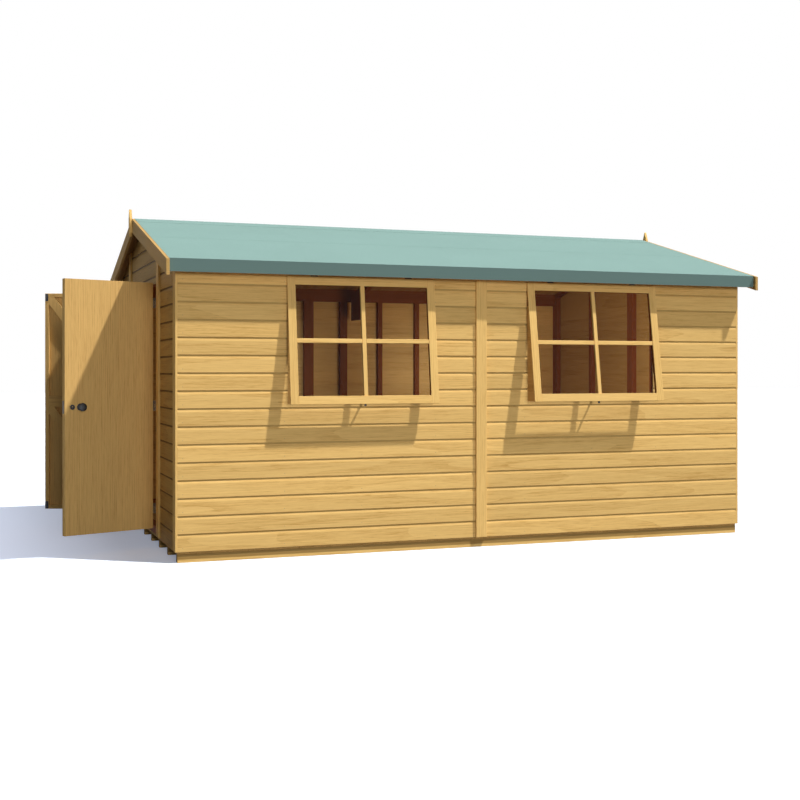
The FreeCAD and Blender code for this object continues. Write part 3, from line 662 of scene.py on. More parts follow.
class Carpentry:
    """Gathers many small solids and turns them into one mesh."""

    def __init__(self, name: str, seed: int) -> None:
        """Start with no pieces.

        Args:
            name: The finished object's name.
            seed: Seed of the pieces' tones and grain offsets.
        """
        self.name = name
        self.chance = random.Random(seed)
        self.points: list[Vector] = []
        self.grain: list[Point] = []
        self.tone: list[float] = []
        self.faces: list[Corners] = []
        # Each face's mark: a rubbed edge above zero, painted shade below zero.
        self.wear_and_shade: list[float] = []

    def solid(
        self,
        points: Sequence[Point],
        faces: Sequence[Corners],
        along: int,
        place: Matrix,
        wear_and_shade: Optional[Sequence[float]] = None,
    ) -> None:
        """Add one closed solid.

        Args:
            points: Corners in the piece's own space.
            faces: Corner numbers of each face.
            along: Axis of the piece's own space that the grain follows.
            place: Moves the piece to its place in the frame.
            wear_and_shade: Mark of each face, from -1 for painted shade to 1 for a rubbed edge.
        """
        base = len(self.points)
        shift = [self.chance.uniform(0.0, 40.0) for _ in range(3)]
        tone = self.chance.random()
        order = (along, (along + 1) % 3, (along + 2) % 3)
        for point in points:
            self.points.append(place @ Vector(point))
            self.grain.append(tuple(point[axis] + shift[slot] for slot, axis in enumerate(order)))
            self.tone.append(tone)
        for number, face in enumerate(faces):
            self.faces.append(tuple(base + corner for corner in face))
            self.wear_and_shade.append(wear_and_shade[number] if wear_and_shade else 0.0)

    def block(
        self, low: Point, high: Point, along: int, place: Matrix = Matrix(), edge: float = 0.0012
    ) -> None:
        """Add a block with small chamfers.

        Args:
            low: Lowest corner in the piece's own space.
            high: Highest corner in the piece's own space.
            along: Axis that the grain follows.
            place: Moves the block to its place.
            edge: Width of the chamfers.
        """
        points: list[Point] = []
        number: dict[tuple[Corners, int], int] = {}
        for corner in itertools.product((0, 1), repeat=3):
            for axis in range(3):
                spot = []
                for side in range(3):
                    inset = 0.0 if side == axis else edge
                    spot.append(high[side] - inset if corner[side] else low[side] + inset)
                number[(corner, axis)] = len(points)
                points.append((spot[0], spot[1], spot[2]))
        faces: list[Corners] = []
        wear_and_shade: list[float] = []
        for axis in range(3):
            first, second = (axis + 1) % 3, (axis + 2) % 3
            for side in (0, 1):
                ring = []
                for pair in ((0, 0), (1, 0), (1, 1), (0, 1)):
                    corner = [0, 0, 0]
                    corner[axis], corner[first], corner[second] = side, pair[0], pair[1]
                    ring.append(number[(tuple(corner), axis)])
                faces.append(tuple(ring))
                wear_and_shade.append(0.0)
            for pair in itertools.product((0, 1), repeat=2):
                low_end, high_end = [0, 0, 0], [0, 0, 0]
                low_end[first] = high_end[first] = pair[0]
                low_end[second] = high_end[second] = pair[1]
                high_end[axis] = 1
                start, stop = tuple(low_end), tuple(high_end)
                strip = ((start, first), (stop, first), (stop, second), (start, second))
                faces.append(tuple(number[mark] for mark in strip))
                wear_and_shade.append(1.0)
        for corner in itertools.product((0, 1), repeat=3):
            faces.append(tuple(number[(corner, axis)] for axis in range(3)))
            wear_and_shade.append(1.0)
        self.solid(points, faces, along, place, wear_and_shade)

    def prism(
        self,
        outline: Sequence[tuple[float, float]],
        start: Callable[[float], float],
        end: Callable[[float], float],
        place: Matrix,
        wear_and_shade: Optional[Sequence[float]] = None,
    ) -> None:
        """Add a length with a cross-section of depth and height.

        Args:
            outline: Depth and height of each corner, in order.
            start: Where the length starts at a height.
            end: Where the length ends at a height.
            place: Moves the length to its place; its own axes are run, depth and height.
            wear_and_shade: Mark of each long face, as in solid.
        """
        count = len(outline)
        points = [(start(height), depth, height) for depth, height in outline]
        points += [(end(height), depth, height) for depth, height in outline]
        marks = [*wear_and_shade, 0.0, 0.0] if wear_and_shade else None
        self.solid(points, bar_faces(count), 0, place, marks)

    def dome(
        self, centre: Vector, normal: Vector, radius: float, height: float, sides: int
    ) -> None:
        """Add a low round head that stands on a surface.

        Args:
            centre: Middle of the head on the surface.
            normal: Direction away from the surface.
            radius: Radius of the head.
            height: How far the head stands out.
            sides: Number of sides.
        """
        turn = normal.to_track_quat("Z", "Y").to_matrix().to_4x4()
        place = Matrix.Translation(centre) @ turn
        points: list[Point] = []
        for share, level in ((1.0, -0.4), (1.0, 0.45), (0.6, 0.9)):
            reach = radius * share
            for side in range(sides):
                angle = 2.0 * math.pi * side / sides
                points.append((reach * math.cos(angle), reach * math.sin(angle), height * level))
        faces: list[Corners] = []
        for ring in range(2):
            for side in range(sides):
                after = (side + 1) % sides
                base = ring * sides
                faces.append((base + side, base + after, base + sides + after, base + sides + side))
        faces.append(tuple(range(2 * sides, 3 * sides)))
        faces.append(tuple(reversed(range(sides))))
        self.solid(points, faces, 0, place)

    def make(self, material: Material, body: str) -> Thing:
        """Turn the gathered solids into one object with flat faces.

        Args:
            material: Finish of the object.
            body: Body that it rides on.

        Returns:
            The new object.
        """
        mesh = bpy.data.meshes.new(self.name)
        mesh.from_pydata([tuple(point) for point in self.points], [], self.faces)
        work = bmesh.new()
        work.from_mesh(mesh)
        bmesh.ops.recalc_face_normals(work, faces=work.faces)
        work.to_mesh(mesh)
        work.free()
        grain = mesh.attributes.new("grain", "FLOAT_VECTOR", "POINT")
        grain.data.foreach_set("vector", [value for spot in self.grain for value in spot])
        tone = mesh.attributes.new("tone", "FLOAT", "POINT")
        tone.data.foreach_set("value", self.tone)
        # Face marks: rubbed edges above zero, painted shade below zero.
        wear_and_shade = mesh.attributes.new("wear_and_shade", "FLOAT", "FACE")
        wear_and_shade.data.foreach_set("value", self.wear_and_shade)
        mesh.polygons.foreach_set("use_smooth", [False] * len(self.faces))
        mesh.materials.append(material)
        thing = bpy.data.objects.new(self.name, mesh)
        bpy.context.scene.collection.objects.link(thing)
        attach(thing, body)
        LOG.info("%s: %d faces", self.name, len(self.faces))
        return thing


class RoofPlan:
    """Planes of the roof, read from the frame."""

    def __init__(self) -> None:
        """Read the ridge, the eaves and the gable ends."""
        low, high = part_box("roof_felt_front")
        self.ridge_z = high.z
        self.eave_y = -low.y
        self.start_x = low.x
        self.end_x = high.x
        self.tan = math.tan(ROOF_PITCH)
        self.cos = math.cos(ROOF_PITCH)

    def under(self, y: float) -> float:
        """Height of the roof boards' underside at y."""
        return self.ridge_z - self.tan * abs(y) - (FELT_DEPTH + ROOF_BOARD_DEPTH) / self.cos

    def slope(self, front: bool) -> Matrix:
        """Space of one slope: along the ridge, down the slope and into the roof.

        Args:
            front: True for the slope over the window wall.

        Returns:
            Matrix from the slope's space to the frame.
        """
        side = -1.0 if front else 1.0
        along = Vector((-side, 0.0, 0.0))
        down = Vector((0.0, side * self.cos, -math.sin(ROOF_PITCH)))
        inward = along.cross(down)
        turn = Matrix((along, down, inward)).transposed().to_4x4()
        return Matrix.Translation((0.0, 0.0, self.ridge_z)) @ turn


@dataclass(frozen=True)
class Opening:
    """Rectangular hole in a wall, in the wall's own run and height."""

    left: float
    right: float
    bottom: float
    top: float


@dataclass
class CladWall:
    """One panel of horizontal shiplap boards."""

    name: str
    place: Matrix
    length: float
    bottom: float
    top: float
    apex: Optional[tuple[float, float]] = None
    openings: list[Opening] = field(default_factory=list)
    recess: float = 0.0052
    scoop: float = 0.030
    lip: float = 0.0014
    lip_cut: float = 0.0008
    flat_top: float = 0.010
    # Height and soft edge of the painted shade at the top of each board, under the next board's
    # lip.
    shade_band_height: float = 0.0105
    shade_band_fade: float = 0.005
    same_height: float = 1e-6

    def face_depth(self, height: float, course: float) -> float:
        """Depth of the board's face below the wall's face.

        Args:
            height: Height on the wall.
            course: Height of the board's lower lip.

        Returns:
            Depth at that height.
        """
        up = height - course
        if up < self.lip:
            return self.lip_cut * (1.0 - up / self.lip)
        into = up - (COURSE - self.scoop)
        if into <= 0.0:
            return 0.0
        share = min(1.0, into / (self.scoop - self.flat_top))
        return self.recess * (1.0 - math.cos(share * math.pi / 2.0))

    def levels(self, low: float, high: float, course: float) -> list[float]:
        """Heights at which the board's section changes, between two limits.

        Args:
            low: Lowest height.
            high: Highest height.
            course: Height of the board's lower lip.

        Returns:
            The heights from the bottom up.
        """
        marks = [low, high, course + self.lip]
        bend = COURSE - self.scoop
        curve = self.scoop - self.flat_top
        marks += [course + bend + curve * step / 4.0 for step in range(5)]
        if self.apex:
            marks.append(self.roof_height(0.0))
            marks.append(self.roof_height(self.length))
        return sorted({round(mark, 6) for mark in marks if low <= mark <= high})

    def roof_height(self, run: float) -> float:
        """Height of the roof's underside at a place along a gable wall."""
        middle, peak = self.apex
        return peak - math.tan(ROOF_PITCH) * abs(run - middle)

    def painted_shade(self, height: float, course: float) -> float:
        """Painted shade on a board's face, negative where the next board's lip shades it.

        Args:
            height: Height at which the face starts.
            course: Height of the board's lower lip.

        Returns:
            Painted shade of the face.
        """
        sheltered = course + COURSE - self.shade_band_height
        if height > sheltered:
            return -1.0
        return -0.5 if height > sheltered - self.shade_band_fade else 0.0

    def board(
        self, work: Carpentry, left: float, right: float, low: float, high: float, course: float
    ) -> None:
        """Add one board or a part of one.

        Args:
            work: Collector of the wall's boards.
            left: Start along the wall.
            right: End along the wall.
            low: Lowest height.
            high: Highest height.
            course: Height of the whole board's lower lip.
        """
        if self.apex:
            middle = self.apex[0]
            nearest = min(max(middle, left), right)
            high = min(high, self.roof_height(nearest))
        if min(high - low, right - left) < SMALLEST_PIECE:
            return
        heights = self.levels(low, high, course)
        outline = [(self.face_depth(height, course), height) for height in heights]
        outline += [(CLAD_DEPTH, height) for height in reversed(heights)]
        # Paint shade on the top of each board's face, under the next board's lip.
        wear_and_shade = [self.painted_shade(height, course) for height in heights] + [0.0] * len(heights)
        # Rub the board's lower lip paler and paint shade on its underside.
        if abs(low - course) < self.same_height:
            wear_and_shade[0] = 1.0
            wear_and_shade[-1] = -1.0
        start, end = partial(self.cut_left, left), partial(self.cut_right, right)
        work.prism(outline, start, end, self.place, wear_and_shade)

    def cut_left(self, left: float, height: float) -> float:
        """Left end of a board at a height, cut to the roof.

        Args:
            left: Left end of the uncut board.
            height: Height on the wall.

        Returns:
            The left end there.
        """
        if not self.apex:
            return left
        middle, peak = self.apex
        return max(left, middle - (peak - height) / math.tan(ROOF_PITCH))

    def cut_right(self, right: float, height: float) -> float:
        """Right end of a board at a height, cut to the roof.

        Args:
            right: Right end of the uncut board.
            height: Height on the wall.

        Returns:
            The right end there.
        """
        if not self.apex:
            return right
        middle, peak = self.apex
        return min(right, middle + (peak - height) / math.tan(ROOF_PITCH))

    def lay(self, work: Carpentry, base: float) -> None:
        """Lay every course from the bottom up, round the openings.

        Args:
            work: Collector of the wall's boards.
            base: Height at which the first course starts.
        """
        count = math.ceil((self.top - base) / COURSE)
        for number in range(count):
            course = base + number * COURSE
            low = max(course, self.bottom)
            high = min(course + COURSE, self.top)
            if high <= low:
                continue
            cursor = 0.0
            for hole in self.openings:
                if hole.top <= low or hole.bottom >= high:
                    continue
                self.board(work, cursor, hole.left, low, high, course)
                if hole.bottom > low:
                    self.board(work, hole.left, hole.right, low, hole.bottom, course)
                if hole.top < high:
                    self.board(work, hole.left, hole.right, hole.top, high, course)
                cursor = hole.right
            self.board(work, cursor, self.length, low, high, course)


def facing(run: Point, depth: Point, corner: Point) -> Matrix:
    """Space of a wall: along it, into it and up.

    Args:
        run: Direction along the wall.
        depth: Direction into the wall.
        corner: Where the wall's own space starts.

    Returns:
        Matrix from the wall's space to the frame.
    """
    turn = Matrix((Vector(run), Vector(depth), Vector((0.0, 0.0, 1.0)))).transposed().to_4x4()
    return Matrix.Translation(corner) @ turn


@dataclass
class WindowWall:
    """Front wall with its two window openings."""

    finishes: Finishes
    roof: RoofPlan
    inner_pier: float = 0.3775
    opening_width: float = 1.072
    opening_bottom: float = 1.056
    opening_top: float = 1.928

    def build(self) -> list[Thing]:
        """Build both panels.

        Returns:
            The two panels' objects.
        """
        made = []
        for node, left in (("front_wall_left", True), ("front_wall_right", False)):
            low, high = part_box(node)
            length = high.x - low.x
            edge = self.inner_pier - GAP / 2.0
            start = length - edge - self.opening_width if left else edge
            hole = Opening(start, start + self.opening_width, self.opening_bottom, self.opening_top)
            place = facing((1, 0, 0), (0, 1, 0), (low.x, low.y, 0.0))
            top = self.roof.under(low.y) - ROOF_PLAY
            wall = CladWall(node + "_boards", place, length, low.z, top, None, [hole])
            work = Carpentry(wall.name, 11 if left else 12)
            wall.lay(work, low.z)
            thing = work.make(self.finishes.shiplap, "shed")
            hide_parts(node)
            made.append(thing)
        return made


@dataclass
class BackWall:
    """Plain back wall in two panels."""

    finishes: Finishes
    roof: RoofPlan
    joint_share: float = 0.398

    def build(self) -> list[Thing]:
        """Build the wall.

        Returns:
            The wall's object in a list.
        """
        low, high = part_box("back_wall")
        ends_low, ends_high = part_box("corner_strips")
        joint = ends_low.x + self.joint_share * (ends_high.x - ends_low.x)
        work = Carpentry("back_wall_boards", 13)
        top = self.roof.under(high.y) - ROOF_PLAY
        for start, end in ((low.x, joint - GAP / 2.0), (joint + GAP / 2.0, high.x)):
            place = facing((-1, 0, 0), (0, -1, 0), (end, high.y, 0.0))
            wall = CladWall(work.name, place, end - start, low.z, top)
            wall.lay(work, low.z)
        thing = work.make(self.finishes.shiplap, "shed")
        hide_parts("back_wall")
        return [thing]


@dataclass
class GableWalls:
    """Door gable and plain gable."""

    finishes: Finishes
    roof: RoofPlan
    course_drop: float = 0.005

    def gable_panel(
        self, work: Carpentry, box: tuple[Vector, Vector], outward: float, span: tuple[float, float]
    ) -> None:
        """Lay one panel of a gable.

        Args:
            work: Collector of the boards.
            box: Lowest and highest corner of the panel's node.
            outward: -1 for the door gable and 1 for the plain gable.
            span: Lowest and highest y of the panel.
        """
        low, high = box
        face = low.x if outward < 0 else high.x
        start = span[1] if outward < 0 else span[0]
        place = facing((0, outward, 0), (-outward, 0, 0), (face, start, 0.0))
        middle = start if outward < 0 else -start
        peak = self.roof.under(0.0) - ROOF_PLAY
        wall = CladWall(work.name, place, span[1] - span[0], low.z, peak, (middle, peak))
        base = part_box("front_wall_left")[0].z - self.course_drop
        wall.lay(work, base)

    def build(self) -> list[Thing]:
        """Build both gables.

        Returns:
            The objects of the gables' boards.
        """
        made = []
        sides_low, sides_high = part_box("door_wall_sides")
        head_low, head_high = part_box("door_wall_header")
        work = Carpentry("door_gable_side_boards", 14)
        box = (sides_low, sides_high)
        self.gable_panel(work, box, -1.0, (sides_low.y, head_low.y))
        self.gable_panel(work, box, -1.0, (head_high.y, sides_high.y))
        thing = work.make(self.finishes.gable, "shed")
        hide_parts("door_wall_sides")
        made.append(thing)
        work = Carpentry("door_gable_header_boards", 15)
        self.gable_panel(work, (head_low, head_high), -1.0, (head_low.y, head_high.y))
        thing = work.make(self.finishes.gable, "shed")
        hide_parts("door_wall_header")
        made.append(thing)
        low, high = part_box("far_gable_wall")
        work = Carpentry("far_gable_boards", 16)
        self.gable_panel(work, (low, high), 1.0, (low.y, -GAP / 2.0))
        self.gable_panel(work, (low, high), 1.0, (GAP / 2.0, high.y))
        thing = work.make(self.finishes.gable, "shed")
        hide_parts("far_gable_wall")
        made.append(thing)
        return made


@dataclass
class WallNails:
    """Nail heads of the long walls, one to a board at each stud."""

    finishes: Finishes
    window_wall: WindowWall
    radius: float = 0.0022
    height: float = 0.0004
    above_lip: float = 0.024
    clear: float = 0.014
    margin: float = 0.012
    sides: int = 8
    stud_least: float = 0.020
    stud_most: float = 0.060

    def stud_lines(self, node: str) -> list[float]:
        """Middles of a node's studs along the wall.

        Args:
            node: Name of the studs' node.

        Returns:
            Their x from left to right.
        """
        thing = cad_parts[node]
        spots = (thing.matrix_world @ corner.co for corner in thing.data.vertices)
        marks = sorted({round(spot.x, 4) for spot in spots})
        return [
            (left + right) / 2.0
            for left, right in zip(marks, marks[1:])
            if self.stud_least < right - left < self.stud_most
        ]

    def holes(self) -> list[tuple[float, float]]:
        """Start and end of each window opening along the wall.

        Returns:
            Start and end in x, the left window first.
        """
        wall = self.window_wall
        width = wall.opening_width
        inner = wall.inner_pier - GAP / 2.0
        left_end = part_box("front_wall_left")[1].x - inner
        right_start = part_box("front_wall_right")[0].x + inner
        return [(left_end - width, left_end), (right_start, right_start + width)]

    def free(self, x: float, z: float) -> bool:
        """Whether a nail at this place is clear of the windows.

        Args:
            x: Place along the wall.
            z: Height of the nail.

        Returns:
            True where it is clear.
        """
        wall = self.window_wall
        if z < wall.opening_bottom - self.clear or z > wall.opening_top + self.clear:
            return True
        return all(x < start - self.clear or x > end + self.clear for start, end in self.holes())

    def build(self) -> list[Thing]:
        """Drive the nails.

        Returns:
            The object of all nail heads in a list.
        """
        work = Carpentry("wall_nails", 61)
        for node, studs, outward in (
            ("front_wall_left", "front_wall_studs", -1.0),
            ("front_wall_right", "front_wall_studs", -1.0),
            ("back_wall", "back_wall_studs", 1.0),
        ):
            low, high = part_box(node)
            face = low.y if outward < 0 else high.y
            out = Vector((0.0, outward, 0.0))
            for x in self.stud_lines(studs):
                if not low.x + self.margin < x < high.x - self.margin:
                    continue
                z = low.z + self.above_lip
                while z < high.z - self.clear:
                    if outward > 0 or self.free(x, z):
                        work.dome(Vector((x, face, z)), out, self.radius, self.height, self.sides)
                    z += COURSE
        return [work.make(self.finishes.nails, "shed")]


@dataclass
class Floor:
    """Floor boards across the bearers."""

    finishes: Finishes
    boards: int = 37
    joint: float = 0.0006

    def build(self) -> list[Thing]:
        """Build the floor boards.

        Returns:
            The floor's object in a list.
        """
        low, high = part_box("floor_deck")
        work = Carpentry("floor_boards", 21)
        width = (high.x - low.x) / self.boards
        for number in range(self.boards):
            left = low.x + number * width
            work.block((left, low.y, low.z), (left + width - self.joint, high.y, high.z), 1)
        thing = work.make(self.finishes.floor, "shed")
        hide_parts("floor_deck")
        return [thing]


@dataclass
class RoofSkin:
    """Roof boards, ridge strip and felt laps."""

    finishes: Finishes
    roof: RoofPlan
    boards: int = 45
    ridge_strip: float = 0.16
    lap_down: float = 0.86
    joint: float = 0.0005
    board_edge: float = 0.0022
    lap_rise: float = 0.0004
    lap_edge: float = 0.0001
    strip_rise: float = 0.0014
    strip_edge: float = 0.0003

    def build_boards(self, front: bool) -> Thing:
        """Build one slope of roof boards.

        Args:
            front: True for the slope over the window wall.

        Returns:
            The boards' object.
        """
        side = "front" if front else "back"
        work = Carpentry("roof_boarding_" + side, 31 if front else 32)
        place = self.roof.slope(front)
        total = self.roof.end_x - self.roof.start_x
        width = total / self.boards
        depth = FELT_DEPTH + ROOF_BOARD_DEPTH
        down = (self.roof.eave_y - FELT_DEPTH) / self.roof.cos
        start = self.roof.start_x if front else -self.roof.end_x
        for number in range(self.boards):
            left = start + number * width
            low = (left, depth * self.roof.tan, FELT_DEPTH)
            work.block(low, (left + width - self.joint, down, depth), 1, place, self.board_edge)
        thing = work.make(self.finishes.roof, "shed")
        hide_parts("roof_boards_" + side)
        return thing

    def build_laps(self) -> Thing:
        """Build the ridge strip and the upper felt sheets.

        Returns:
            The object of the felt laps.
        """
        work = Carpentry("felt_laps", 33)
        lap, strip = -self.lap_rise, -self.strip_rise
        for front in (True, False):
            place = self.roof.slope(front)
            start = self.roof.start_x if front else -self.roof.end_x
            end = start + (self.roof.end_x - self.roof.start_x)
            work.block((start, 0.0, lap), (end, self.lap_down, 0.0), 0, place, self.lap_edge)
            work.block((start, 0.0, strip), (end, self.ridge_strip, lap), 0, place, self.strip_edge)
        return work.make(self.finishes.felt, "shed")

    def build(self) -> list[Thing]:
        """Build the roof's skin."""
        return [self.build_boards(True), self.build_boards(False), self.build_laps()]


@dataclass
class Window:
    """One top-hung sash with its glazing bars."""

    name: str
    centre_x: float
    open_deg: float
    wall_y: float
    width: float = 1.088
    height: float = 0.888
    thick: float = 0.028
    member: float = 0.058
    bar: float = 0.030
    cross_bar_up: float = 0.446
    proud: float = 0.010
    back_inset: float = 0.012
    hang_z: float = 1.936
    pane: float = 0.004
    edge: float = 0.0014
    bar_edge: float = 0.002
    bar_sunk: float = 0.003
    cross_bar_sunk: float = 0.001

    def space(self) -> Matrix:
        """Space of the tilted sash: across, into the wall and up from its top edge."""
        turn = Matrix.Rotation(-math.radians(self.open_deg), 4, "X")
        return Matrix.Translation((self.centre_x, self.wall_y - self.proud, self.hang_z)) @ turn

    def add_sash(self, face: Carpentry, back: Carpentry) -> None:
        """Add the stiles and rails: a lapping face and a back that fits the opening.

        Args:
            face: Collector of the lapping faces.
            back: Collector of the backs.
        """
        place = self.space()
        half = self.width / 2.0
        inner = half - self.member
        sill = self.member - self.height
        layers = ((face, 0.0, self.proud, 0.0), (back, self.proud, self.thick, self.back_inset))
        for work, near, far, inset in layers:
            side, low, top = half - inset, inset - self.height, -inset
            work.block((-side, near, low), (-inner, far, top), 2, place, self.edge)
            work.block((inner, near, low), (side, far, top), 2, place, self.edge)
            work.block((-inner, near, -self.member), (inner, far, top), 0, place, self.edge)
            work.block((-inner, near, low), (inner, far, sill), 0, place, self.edge)

    def add_bars(self, work: Carpentry) -> None:
        """Add the glazing bars on both sides of the pane.

        Args:
            work: Collector of the bars.
        """
        place = self.space()
        inner = self.width / 2.0 - self.member
        half = self.bar / 2.0
        top = -self.member
        bottom = self.member - self.height
        middle = -self.cross_bar_up
        front = (self.thick - self.pane) / 2.0
        sides = ((self.bar_sunk, front), (front + self.pane, self.thick - self.bar_sunk))
        for near, far in sides:
            work.block((-half, near, bottom), (half, far, top), 2, place, self.bar_edge)
            for left, right in ((-inner, -half), (half, inner)):
                low = (left, near + self.cross_bar_sunk, middle - half)
                work.block(low, (right, far, middle + half), 0, place, self.bar_edge)


@dataclass
class Windows:
    """Both windows of the front wall."""

    finishes: Finishes
    window_wall: WindowWall
    left_open_deg: float = 6.5
    right_open_deg: float = 8.5

    def build(self) -> list[Thing]:
        """Build the sashes and their bars.

        Returns:
            The objects of the sashes and bars.
        """
        left_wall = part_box("front_wall_left")
        right_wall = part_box("front_wall_right")
        wall = self.window_wall
        reach = wall.inner_pier + wall.opening_width / 2.0 - GAP / 2.0
        left = Window("left_window", left_wall[1].x - reach, self.left_open_deg, left_wall[0].y)
        right = Window("right_window", right_wall[0].x + reach, self.right_open_deg, left_wall[0].y)
        faces = Carpentry("sash_faces", 41)
        backs = Carpentry("sash_backs", 43)
        bars = Carpentry("glazing_bars", 42)
        for window in (left, right):
            window.add_sash(faces, backs)
            window.add_bars(bars)
        frames = faces.make(self.finishes.trim, "shed")
        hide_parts("window_sashes")
        inside = backs.make(self.finishes.inner, "shed")
        return [frames, inside, bars.make(self.finishes.trim, "shed")]


@dataclass
class DoorLeaf:
    """One boarded door leaf, standing open on its hinges."""

    name: str
    body: str
    near: bool
    finishes: Finishes
    open_deg: float = 110.0
    gap: float = 0.006
    meeting: float = 0.006
    board: float = 0.012
    frame_depth: float = 0.028
    proud: float = 0.006
    pin_out: float = 0.014
    bottom: float = 0.133
    top: float = 1.927
    ledge: float = 0.095
    stile: float = 0.032
    plate_stand: float = 0.0004
    brace: float = 0.070
    handle_z: float = 1.030
    board_count: int = 5
    board_joint: float = 0.0004
    board_edge: float = 0.0006
    edge: float = 0.0015

    def space(self) -> Matrix:
        """Space of the leaf: from its hinge edge to its free edge, inwards and up.

        Returns:
            Matrix from the leaf's space to the frame.
        """
        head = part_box("door_wall_header")
        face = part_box("corner_strips")[0].x
        side = 1.0 if self.near else -1.0
        pin_y = head[0].y + self.gap / 2.0 if self.near else head[1].y - self.gap / 2.0
        run = Vector((0.0, side, 0.0))
        inward = Vector((1.0, 0.0, 0.0))
        turn = Matrix((run, inward, Vector((0.0, 0.0, 1.0)))).transposed().to_4x4()
        shut = Matrix.Translation((self.pin_out - self.proud, side * self.gap / 2.0, 0.0)) @ turn
        swing = Matrix.Rotation(math.radians(side * self.open_deg), 4, "Z")
        return Matrix.Translation((face - self.pin_out, pin_y, 0.0)) @ swing @ shut

    def width(self) -> float:
        """Width of the leaf."""
        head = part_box("door_wall_header")
        return (head[1].y - head[0].y) / 2.0 - self.gap - self.meeting / 2.0

    def brace_points(self, low: float, high: float) -> list[tuple[float, float]]:
        """Outline of a diagonal brace in run and height.

        Args:
            low: Lower ledge's top.
            high: Upper ledge's underside.

        Returns:
            Six corners of the brace.
        """
        left = self.stile
        right = self.width() - self.stile
        length = math.hypot(right - left, high - low)
        rise = self.brace * length / (right - left) / 2.0
        run = self.brace * length / (high - low) / 2.0
        points = [(left, low), (left + run, low), (right, high - rise)]
        points += [(right, high), (right - run, high), (left, low + rise)]
        return points

    def add_brace(self, work: Carpentry, low: float, high: float) -> None:
        """Add one brace on the boards' inner face.

        Args:
            work: Collector of the leaf's frame.
            low: Lower ledge's top.
            high: Upper ledge's underside.
        """
        outline = self.brace_points(low, high)
        near, far = self.board, self.board + self.frame_depth
        points = [(run, near, height) for run, height in outline]
        points += [(run, far, height) for run, height in outline]
        work.solid(points, bar_faces(len(outline)), 2, self.space())

    def build(self) -> list[Thing]:
        """Build the leaf's boards and its frame.

        Returns:
            The leaf's two objects.
        """
        place = self.space()
        width = self.width()
        seed = 51 if self.near else 55
        boards = Carpentry(self.name + "_boards_dressed", seed)
        step = width / self.board_count
        for number in range(self.board_count):
            left = number * step
            high = (left + step - self.board_joint, self.board, self.top)
            boards.block((left, 0.0, self.bottom), high, 2, place, self.board_edge)
        skin = boards.make(self.finishes.door, self.body)
        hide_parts(self.name + "_boards")
        frame_work = Carpentry(self.name + "_frame_dressed", seed + 1)
        near, far = self.board, self.board + self.frame_depth
        inner = width - self.stile
        middle = self.handle_z - self.ledge / 2.0
        low, top = self.bottom, self.top
        frame_work.block((0.0, near, low), (self.stile, far, top), 2, place, self.edge)
        free = width - self.plate_stand
        frame_work.block((inner, near, low), (free, far, top), 2, place, self.edge)
        ledges = ((low, low + self.stile), (middle, middle + self.ledge), (top - self.stile, top))
        for start, end in ledges:
            frame_work.block((self.stile, near, start), (inner, far, end), 0, place, self.edge)
        self.add_brace(frame_work, low + self.stile, middle)
        self.add_brace(frame_work, middle + self.ledge, top - self.stile)
        ribs = frame_work.make(self.finishes.door, self.body)
        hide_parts(self.name + "_frame")
        return [skin, ribs]


@dataclass
class FrameDressing:
    """Finishes and softened edges for the nodes that the frame shows itself."""

    finishes: Finishes
    edge: float = 0.0012
    weld: float = 0.00002
    sharp_deg: float = 50.0

    def plan(self) -> dict[str, Material]:
        """Finish of each node.

        Returns:
            Materials by node name.
        """
        own = self.finishes
        return {
            "floor_bearers": own.bearer,
            "front_wall_rails": own.inner_x,
            "front_wall_studs": own.inner_z,
            "back_wall_rails": own.inner_x,
            "back_wall_studs": own.inner_z,
            "door_wall_rails": own.inner_y,
            "door_wall_studs": own.jamb,
            "far_gable_rails": own.inner_y,
            "far_gable_studs": own.inner_z,
            "corner_strips": own.trim_up,
            "door_side_strips": own.trim_up,
            "panel_joint_strips": own.trim_up,
            "door_threshold": own.inner_y,
            "roof_felt_front": own.felt,
            "roof_felt_back": own.felt,
            "fascia_boards": own.trim_long,
            "eaves_battens": own.trim_long,
            "roof_purlins": own.inner_x,
            "roof_truss": own.inner_slope,
            "truss_gussets": own.inner_y,
            "bargeboards": own.barge,
            "finials": own.trim_up,
            "window_panes": own.glass,
            "window_stays": own.black,
            "window_hinges": own.bronze,
            "near_door_hinges": own.bronze,
            "far_door_hinges": own.bronze,
            "door_hinges_fixed": own.bronze,
            "door_knob_and_keyhole": own.black,
            "door_lock": own.black,
            "tower_bolts_and_keep": own.black,
            "bolt_keeps": own.black,
        }

    def soften(self, thing: Thing) -> None:
        """Give a node's edges a small chamfer.

        Args:
            thing: Object of the node.
        """
        weld = thing.modifiers.new("weld", "WELD")
        weld.merge_threshold = self.weld
        bevel = thing.modifiers.new("soft_edges", "BEVEL")
        bevel.width = self.edge
        bevel.segments = 1
        bevel.limit_method = "ANGLE"
        bevel.angle_limit = math.radians(self.sharp_deg)

    def build(self) -> list[Thing]:
        """Dress every listed node.

        Returns:
            The dressed objects.
        """
        made = []
        sharp = {"window_panes", "roof_felt_front", "roof_felt_back", "door_knob_and_keyhole"}
        sharp |= {"near_door_hinges", "far_door_hinges", "door_hinges_fixed", "window_hinges"}
        for node, material in self.plan().items():
            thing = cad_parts[node]
            for holder in thing.material_slots:
                holder.material = material
            if node not in sharp:
                self.soften(thing)
            made.append(thing)
        return made


def seen_share(tree: bpy.types.NodeTree) -> Socket:
    """Whether a ray comes from the camera, also by way of gloss or glass.

    Args:
        tree: Nodes of the floor or of the sky.

    Returns:
        Socket with 1 for such a ray and 0 for any other.
    """
    path = tree.nodes.new("ShaderNodeLightPath")
    share = path.outputs["Is Camera Ray"]
    for ray in ("Is Glossy Ray", "Is Transmission Ray"):
        either = tree.nodes.new("ShaderNodeMath")
        either.operation = "MAXIMUM"
        tree.links.new(share, either.inputs[0])
        tree.links.new(path.outputs[ray], either.inputs[1])
        share = either.outputs[0]
    return share


